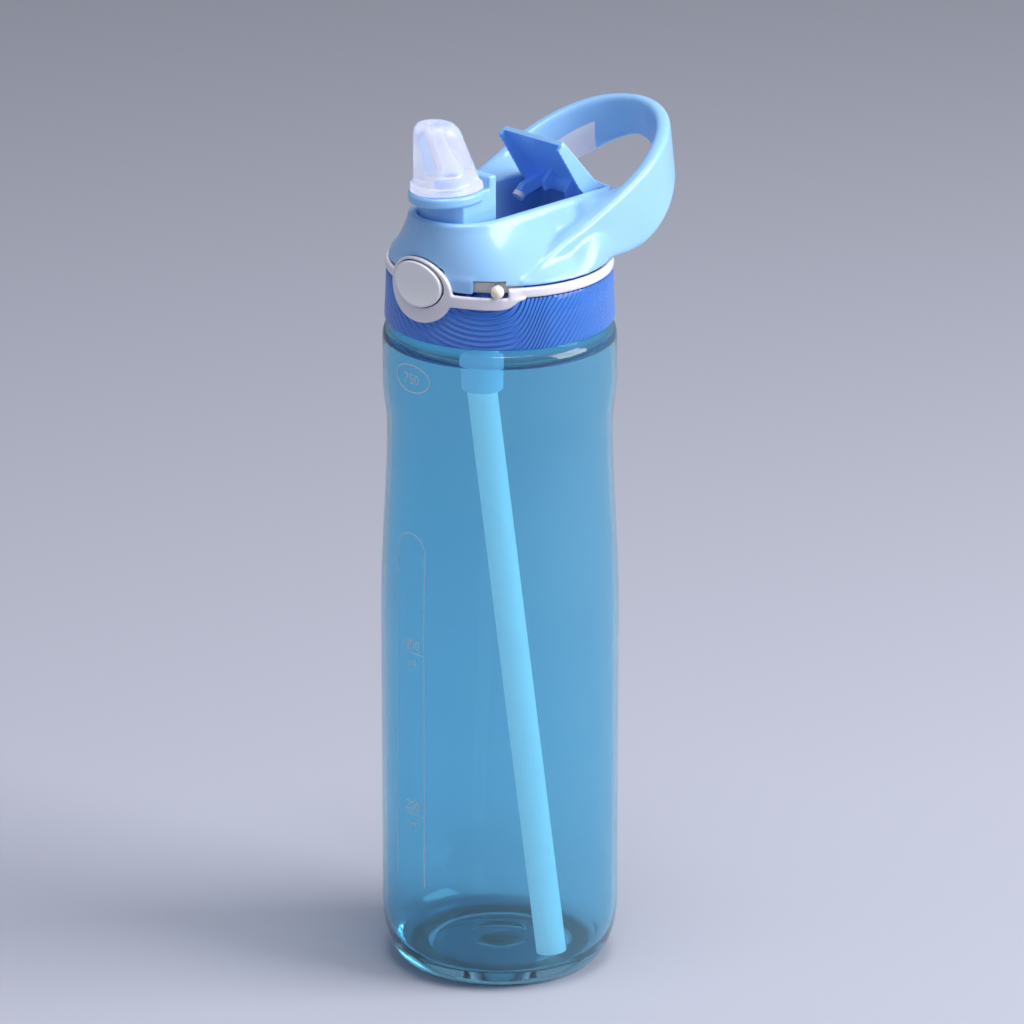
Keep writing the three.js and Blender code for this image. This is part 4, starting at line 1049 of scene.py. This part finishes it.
# ------------------------------------------------------------------ spout, cover and straw
@dataclass
class Spout:
    """The folding spout: its base with the drum, and the soft mouthpiece."""
    pivot_y: float = -22.0
    pivot_z: float = 235.8
    half: float = 10.0
    drum: float = 7.6
    front: float = -29.6
    back: float = -11.0
    top: float = 259.8
    ear_top: float = 263.8
    flange: float = 3.4
    mouth_y: float = -22.6
    mouth_foot: float = 260.1
    mouth_top: float = 281.8
    base_x: float = 10.4
    base_y: float = 12.6
    tip_x: float = 8.0
    tip_y: float = 7.4
    lip: float = 2.6

    def mouth_oval(self, share: float) -> tuple[float, float, float, float]:
        """Half widths, centre and height of the mouthpiece at a share of its height."""
        z = self.mouth_foot + (self.mouth_top - self.mouth_foot) * share
        step = 0.9 * ease((z - self.mouth_foot - self.lip + 0.4) / 0.5)
        crown = 1.6 * (max(0.0, share - 0.85) / 0.15) ** 2
        deep = self.base_y + (self.tip_y - self.base_y) * share
        wide = self.base_x + (self.tip_x - self.base_x) * share
        return wide - step - crown, deep - step - crown, self.mouth_y - self.base_y + deep, z

    def sweep(self, bm: bmesh.types.BMesh, grow: float) -> None:
        """The space the mouthpiece's tip passes through as the spout folds, grown."""
        rows = []
        for i in range(33):
            x = self.tip_x * (i / 16 - 1) * 0.999
            reach = 0.0
            for step in range(11):
                wide, deep, centre, z = self.mouth_oval(0.5 + step / 20)
                bulge = 1 - (x / wide) ** 2
                if bulge >= 0:
                    back = self.pivot_y - centre + deep * math.sqrt(bulge)
                    reach = max(reach, math.hypot(z - self.pivot_z, back))
            if reach > 0:
                rows.append([Vector((x, self.pivot_y + (reach + grow) * math.cos(a),
                                     self.pivot_z + (reach + grow) * math.sin(a)))
                             for a in (2 * math.pi * k / 120 for k in range(120))])
        loft(bm, rows)

    def plan(self, z: float, inset: float) -> list[Vector]:
        """The base's outline: a round front and a flat back with small corners."""
        half = self.half - inset
        points = [Vector((max(-half, min(half, -(14 - inset) * math.cos(a))),
                          self.front + 14 - (14 - inset) * math.sin(a), z))
                  for a in (math.radians(44.5 + 91 * k / 40) for k in range(41))]
        for sign, start in ((1, 0), (-1, 90)):
            points += [Vector((sign * (half - 1) + math.cos(a), self.back - inset - 1 + math.sin(a), z))
                       for a in (math.radians(start + 18 * k) for k in range(6))]
        return points

    def build(self) -> None:
        """Builds the base and the mouthpiece."""
        def heel(bm: bmesh.types.BMesh) -> None:
            """The wedge cut away behind the pivot."""
            rise = 30 * math.tan(math.radians(42))
            y, z = self.pivot_y, self.pivot_z
            loft(bm, [[Vector((x, y, z - 1)), Vector((x, y + 30, z - 1)), Vector((x, y + 30, z + rise)),
                       Vector((x, y, z))] for x in (-15, 15)])

        def drum(bm: bmesh.types.BMesh) -> None:
            """The round drum on the pivot."""
            rows = []
            for i in range(17):
                x = self.half * (i / 8 - 1)
                wall = self.front - 0.6 + 14 - math.sqrt(14 * 14 - x * x)
                radius = max(3.1, self.pivot_y - wall - 0.6)
                rows.append([Vector((x, self.pivot_y + radius * math.cos(a), self.pivot_z + radius * math.sin(a)))
                             for a in (2 * math.pi * k / 72 for k in range(72))])
            loft(bm, rows)

        base = scratch("base", lambda bm: loft(bm, [self.plan(z, 0.0) for z in (self.pivot_z, self.top)]))
        carve(base, "DIFFERENCE", scratch("heel", heel))
        bm = as_mesh(base)
        drum(bm)
        heights = (self.top - self.flange, self.top - self.flange + 0.6, self.top - 0.6, self.top)
        loft(bm, [[Vector(((self.base_x + 0.6 - inset) * math.cos(a),
                           min(self.back - 0.4, self.mouth_y + (self.base_y + 0.6 - inset) * math.sin(a)), z))
                   for a in (2 * math.pi * k / 96 for k in range(96))]
                  for inset, z in zip((0.9, 0.0, 0.0, 0.5), heights)])
        loft(bm, [[Vector((p, self.back - 1.8 + q, z)) for p, q in rounded_box(self.half, 1.8, 0.9)]
                  for z in (self.pivot_z + 14, self.ear_top)])
        tube(bm, [Vector((0, self.mouth_y, z)) for z in (self.top - 2, self.top + 3.8)], 4.9, 48)
        bmesh.ops.scale(bm, vec=(MM, MM, MM), verts=bm.verts)
        raw = bpy.data.meshes.new("base")
        bm.to_mesh(raw)
        bm.free()
        base = bpy.data.objects.new("base", raw)
        bpy.context.scene.collection.objects.link(base)
        melt(base, 0.34, 4)
        carve(base, "DIFFERENCE",
              scratch("duct", lambda bm: tube(bm, [Vector((0, self.pivot_y, z)) for z in (215, 280)], 3.4, 40)),
              scratch("left", lambda bm: rod_x(bm, 1.8, -16.8, -4.8, self.pivot_y, self.pivot_z)),
              scratch("right", lambda bm: rod_x(bm, 1.8, 4.8, 16.8, self.pivot_y, self.pivot_z)),
              scratch("coil_room", lambda bm: rod_x(bm, 3.4, -10.4, -6.5, self.pivot_y, self.pivot_z)))
        finish_piece("spout_block", as_mesh(base), SPOUT_SKY, "spout", ["spout_base"], 42)
        self.mouthpiece()
        coil = bmesh.new()
        tube(coil, [Vector((-9.1 + 2.0 * i / 96, self.pivot_y + 2.5 * math.cos(a), self.pivot_z + 2.5 * math.sin(a)))
                    for i, a in ((i, 2 * math.pi * i / 24) for i in range(97))], 0.28, 10)
        finish_piece("spout_coil", coil, STEEL, "lid", ["spout_spring"], 60)

    def mouthpiece(self) -> None:
        """Builds the mouthpiece with its lip, soft crown, oval hole and duct."""
        outer = [self.mouth_oval(s) for s in (0.014, 0.05, 0.1, 0.104, 0.112, 0.12, 0.13, 0.2, 0.3, 0.4, 0.5,
                                              0.6, 0.7, 0.8, 0.86, 0.9, 0.93, 0.96, 0.98)]
        foot_x, foot_y, foot_c, _ = outer[0]
        tip_x, tip_y, tip_c, _ = self.mouth_oval(1.0)
        top = self.mouth_top
        rings = [(foot_x - 0.3, foot_y - 0.3, foot_c, self.mouth_foot)] + outer
        rings += [(tip_x - 0.5, tip_y - 0.5, tip_c, top - 0.12), (tip_x - 1.4, tip_y - 1.4, tip_c, top),
                  (3.6, 2.3, tip_c, top - 0.15), (2.95, 1.65, tip_c, top - 0.4), (2.75, 1.4, tip_c, top - 1.0),
                  (2.7, 1.5, tip_c, top - 3.5), (2.9, 2.9, self.mouth_y, self.mouth_foot + 8),
                  (2.9, 2.9, self.mouth_y, self.mouth_foot + 4.6), (5.2, 5.2, self.mouth_y, self.mouth_foot + 4.4),
                  (5.3, 5.3, self.mouth_y, self.mouth_foot)]
        sections = [[Vector((x * math.cos(a), c + y * math.sin(a), z)) for x, y, c, z in rings]
                    for a in (2 * math.pi * k / 128 for k in range(128))]

        piece = scratch("mouth", lambda bm: loft(bm, sections, joined=True))
        ear = self.back - 3.6 - 0.3
        carve(piece, "DIFFERENCE", scratch("ear_room", lambda bm: loft(bm, [
            [Vector((x, ear, z)), Vector((x, 20, z)), Vector((x, 20, self.ear_top + 0.3)),
             Vector((x, ear, self.ear_top + 0.3))] for x, z in ((-20, 259), (20, 259))])))
        finish_piece("soft_mouthpiece", as_mesh(piece), MOUTH, "spout", ["mouthpiece"], 40)


@dataclass
class SpoutCover:
    """The cover hinged at the back of the well, with its guard fins and the vent's plug."""
    hinge_y: float = 30.4
    hinge_z: float = 249.4
    half: float = 13.2
    length: float = 25.0
    thick: float = 1.7
    top: float = 251.6
    open_angle: float = 47.6
    barrel: float = 2.7
    fin_spread: float = 5.0
    fin_offset: float = 0.8
    plug_x: float = -9.9
    plug_arm: float = 12.4
    plug_drop: float = 61.0

    def opened(self, bm: bmesh.types.BMesh) -> None:
        """Turns the closed cover up about its hinge to where it rests."""
        bmesh.ops.rotate(bm, verts=bm.verts, cent=(0, self.hinge_y, self.hinge_z),
                         matrix=Matrix.Rotation(math.radians(-self.open_angle), 3, "X"))

    def wall(self, bm: bmesh.types.BMesh, outline: Sequence[tuple[float, float]], x0: float, x1: float) -> None:
        """A flat wall standing across X with an outline of (y, z) points."""
        loft(bm, [[Vector((x, y, z)) for y, z in outline] for x in (x0, x1)])

    def build(self) -> None:
        """Builds the cover, the plug and the hinge's coil."""
        foot = self.top - self.thick
        y, z = self.hinge_y, self.hinge_z
        front = y - self.length
        angle = math.radians(180 + self.plug_drop)
        plug_y, plug_z = y + self.plug_arm * math.cos(angle), z + self.plug_arm * math.sin(angle)

        def parts(bm: bmesh.types.BMesh) -> None:
            """The cover's overlapping parts, closed."""
            rows = []
            for k in range(25):
                share = k / 24
                place = front + (y + 1.2 - front) * share
                half = self.half - 0.5 * (1 - min(1.0, share * 8)) ** 2
                crown = 0.35 * (1 - (2 * share - 1) ** 2)
                rows.append([Vector((p, place, foot + self.thick / 2 + q + crown * (1 - (p / self.half) ** 2)))
                             for p, q in rounded_box(half, self.thick / 2, 0.6)])
            loft(bm, rows)
            skirt = [(front, foot + 0.2), (front, foot - 2), (front + 6, foot - 2.9), (y - 8, z - 4.2),
                     (y - 3, z - 4.4), (y + 1.2, z), (y + 1.2, foot + 0.2)]
            self.wall(bm, skirt, self.half - 1.3, self.half)
            self.wall(bm, skirt, -self.half, 1.3 - self.half)
            fin = [(y - 6.1, foot + 0.2), (y - 6.1, foot - 10), (y, z - 1), (y, foot + 0.2)]
            for side in (-1, 1):
                middle = self.fin_offset + side * self.fin_spread
                self.wall(bm, fin, middle - 0.6, middle + 0.6)
            head = plug_z + 1.1
            arm = [(y, z + 1), (y - 3, z + 1), (plug_y - 1.6, head + 2.4), (plug_y - 1.6, head),
                   (plug_y + 1.6, head), (y, z - 2)]
            self.wall(bm, arm, self.plug_x - 1.2, self.plug_x + 1.2)
            rod_x(bm, self.barrel, -self.half, self.half, y, z, 48)

        cover = scratch("cover", parts)
        melt(cover, 0.3, 3)
        carve(cover, "DIFFERENCE",
              scratch("bore", lambda bm: rod_x(bm, 1.75, -20, 20, y, z)),
              scratch("coil_room", lambda bm: rod_x(bm, 2.75, 7.7, 10.9, y, z)))
        bm = as_mesh(cover)
        self.opened(bm)
        bmesh.ops.scale(bm, vec=(MM, MM, MM), verts=bm.verts)
        raw = bpy.data.meshes.new("cover")
        bm.to_mesh(raw)
        bm.free()
        cover = bpy.data.objects.new("cover", raw)
        bpy.context.scene.collection.objects.link(cover)
        carve(cover, "DIFFERENCE", scratch("tip_path", lambda bm: Spout().sweep(bm, 0.9)))
        made = finish_piece("spout_lid", as_mesh(cover), SKY, "cover", ["spout_cover"], 42)
        self.paint_inner_shade(made)
        plug = bmesh.new()
        tube(plug, [Vector((self.plug_x, plug_y, plug_z + step)) for step in (-0.8, 0.8)], 2.0, 40)
        self.opened(plug)
        finish_piece("vent_stopper", plug, MILKY, "cover", ["vent_plug"], 40)
        coil = bmesh.new()
        tube(coil, [Vector((8.3 + 2.0 * i / 96, y + 2.1 * math.cos(a), z + 2.1 * math.sin(a)))
                    for i, a in ((i, 2 * math.pi * i / 24) for i in range(97))], 0.28, 10)
        finish_piece("cover_coil", coil, STEEL, "lid", ["cover_spring"], 60)

    def paint_inner_shade(self, piece: bpy.types.Object) -> None:
        """Paints shade on the cover's sheltered inner faces: a deeper blue that stands for the shade under the cover.
        """
        piece.data.materials.append(COVER_PAINTED_SHADE.material())
        a = math.radians(self.open_angle)
        below = Vector((0, -math.sin(a), -math.cos(a)))
        for face in piece.data.polygons:
            centre = face.center / MM - Vector((0, self.hinge_y, self.hinge_z))
            # faces on the cover's underside take the painted shade
            under = centre.dot(below) > -0.75
            if under and abs(centre.x) < self.half - 0.2:
                face.material_index = 1


@dataclass
class StrawSet:
    """The soft socket under the lid and the straw that slants down to the base."""
    port_y: float = -7.6
    socket_top: float = 211.7
    socket_foot: float = 191.7
    radius: float = 4.7
    wall: float = 0.8
    tip: tuple[float, float, float] = (25.1, -2.2, 7.6)

    def build(self) -> None:
        """Builds the socket and the straw."""
        socket = bmesh.new()
        top, foot, bore = self.socket_top - 0.3, self.socket_foot, self.radius + 0.3
        turn(socket, [(4.2, top), (6.3, top), (6.6, top - 0.3), (6.6, top - 1.6), (bore + 1.5, foot + 0.3),
                      (bore + 1.3, foot), (bore, foot), (bore, 203.0), (4.2, 203.6), (4.2, top)], 64)
        bmesh.ops.translate(socket, verts=socket.verts, vec=(0, self.port_y, 0))
        finish_piece("straw_cuff", socket, SOCKET, "lid", ["straw_socket"], 40)
        start = Vector((0, self.port_y, 202.7))
        bend = Vector((0, self.port_y, self.socket_foot - 1.5))
        tip = Vector(self.tip)
        path = [start, bend + Vector((0, 0, 5)), bend] + [bend.lerp(tip, i / 8) for i in range(1, 9)]

        def rod(grow: float, ends: float) -> Callable[[bmesh.types.BMesh], None]:
            """A rod along the straw's path, thicker and longer by these amounts."""
            above = [start + Vector((0, 0, ends))] if ends else []
            below = [tip + (tip - bend).normalized() * ends] if ends else []
            return lambda bm: tube(bm, above + path + below, self.radius + grow, 40)
        straw = scratch("straw", rod(0, 0))
        carve(straw, "DIFFERENCE", scratch("bore", rod(-self.wall, 3)))
        finish_piece("slant_straw", as_mesh(straw), STRAW, "lid", ["straw"], 40)


# ------------------------------------------------------------------ the room and its light
@dataclass
class Studio:
    """Pale floor with a painted light falloff, soft lamps and the camera."""
    azimuth: float = 45.0
    elevation: float = 19.58
    distance: float = 2.42
    field: float = 7.6
    target: tuple[float, float, float] = (0.0027, 0.0027, 0.1486)
    # where the floor's painted light falloff starts and ends, and its lighter near and darker far colours
    painted_falloff_start: float = 0.15
    painted_falloff_end: float = 1.15
    floor_near_painted_light: RGB = (0.47, 0.485, 0.575)
    floor_far_painted_shade: RGB = (0.36, 0.37, 0.43)

    def lamp(self, name: str, place: tuple[float, float, float], power: float, size: float, shade: RGB) -> None:
        """A soft square lamp that faces the bottle."""
        light = bpy.data.lights.new(name, "AREA")
        light.energy = power
        light.size = size
        light.color = shade
        holder = bpy.data.objects.new(name, light)
        holder.location = place
        holder.rotation_euler = (Vector((0, 0, 0.14)) - Vector(place)).to_track_quat("-Z", "Y").to_euler()
        bpy.context.scene.collection.objects.link(holder)

    def build(self) -> None:
        """Builds the floor, the world, the lamps and the camera."""
        bm = bmesh.new()
        bmesh.ops.create_grid(bm, x_segments=1, y_segments=1, size=12.0)
        mesh = bpy.data.meshes.new("floor")
        bm.to_mesh(mesh)
        bm.free()
        floor = bpy.data.objects.new("floor", mesh)
        bpy.context.scene.collection.objects.link(floor)
        # painted light falloff: the floor's colour goes from lighter near the camera to darker towards the back
        material = bpy.data.materials.new("floor")
        material.use_nodes = True
        surface = material.node_tree.nodes["Principled BSDF"]
        surface.inputs["Roughness"].default_value = 0.7
        surface.inputs["Specular IOR Level"].default_value = 0.2
        nodes, links = material.node_tree.nodes, material.node_tree.links
        place, turned, parts = (nodes.new(f"ShaderNode{kind}") for kind in ("TexCoord", "Mapping", "SeparateXYZ"))
        turned.inputs["Rotation"].default_value = (0, 0, math.radians(-45))
        painted_falloff = nodes.new("ShaderNodeMapRange")
        painted_falloff.inputs["From Min"].default_value = self.painted_falloff_start
        painted_falloff.inputs["From Max"].default_value = self.painted_falloff_end
        shade = nodes.new("ShaderNodeMix")
        shade.data_type = "RGBA"
        shade.inputs["A"].default_value = (*self.floor_near_painted_light, 1)
        shade.inputs["B"].default_value = (*self.floor_far_painted_shade, 1)
        links.new(place.outputs["Object"], turned.inputs["Vector"])
        links.new(turned.outputs["Vector"], parts.inputs["Vector"])
        links.new(parts.outputs["Y"], painted_falloff.inputs["Value"])
        links.new(painted_falloff.outputs["Result"], shade.inputs["Factor"])
        links.new(shade.outputs["Result"], surface.inputs["Base Color"])
        mesh.materials.append(material)
        world = bpy.data.worlds.new("studio")
        world.use_nodes = True
        sky = world.node_tree.nodes["Background"]
        sky.inputs["Color"].default_value = (*tone(206, 210, 226), 1)
        sky.inputs["Strength"].default_value = 0.4
        scene = bpy.context.scene
        scene.world = world
        scene.view_settings.view_transform = "Standard"
        self.lamp("key", (1.3, 0.8, 0.95), 34.0, 1.1, (1.0, 0.99, 0.97))
        self.lamp("over", (0.3, -0.1, 2.0), 20.0, 0.9, (1.0, 1.0, 1.0))
        self.lamp("front", (-0.9, -1.6, 1.1), 2.0, 1.0, (0.96, 0.98, 1.0))
        camera = bpy.data.cameras.new("camera")
        camera.angle = math.radians(self.field)
        camera.clip_end = 60
        holder = bpy.data.objects.new("camera", camera)
        a, e = math.radians(self.azimuth), math.radians(self.elevation)
        back = Vector((math.sin(a) * math.cos(e), -math.cos(a) * math.cos(e), math.sin(e)))
        holder.location = Vector(self.target) + back * self.distance
        holder.rotation_euler = (-back).to_track_quat("-Z", "Y").to_euler()
        scene.collection.objects.link(holder)
        scene.camera = holder


def main() -> None:
    """Builds the bottle piece by piece, then the room round it."""
    logging.basicConfig(level=logging.INFO, format="%(message)s")
    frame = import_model()
    body = ClearBody()
    body.build()
    VolumePrint(body).build()
    ScrewCollar().build()
    TrimBand().build()
    LidShell().build()
    ButtonAndLock().build()
    Spout().build()
    SpoutCover().build()
    StrawSet().build()
    # lid_pan's finish is painted shade, the deep blue of the shaded well
    kept = {"lid_gasket": MILKY, "lid_pan": PAN_PAINTED_SHADE, "port_seal": MILKY, "spout_catch": PEARL,
            "spout_pin_left": STEEL, "spout_pin_right": STEEL, "cover_pin": STEEL}
    for name, finish in kept.items():
        dress_node(frame["nodes"][name], finish)
    Studio().build()


if __name__ == "__main__":
    main()
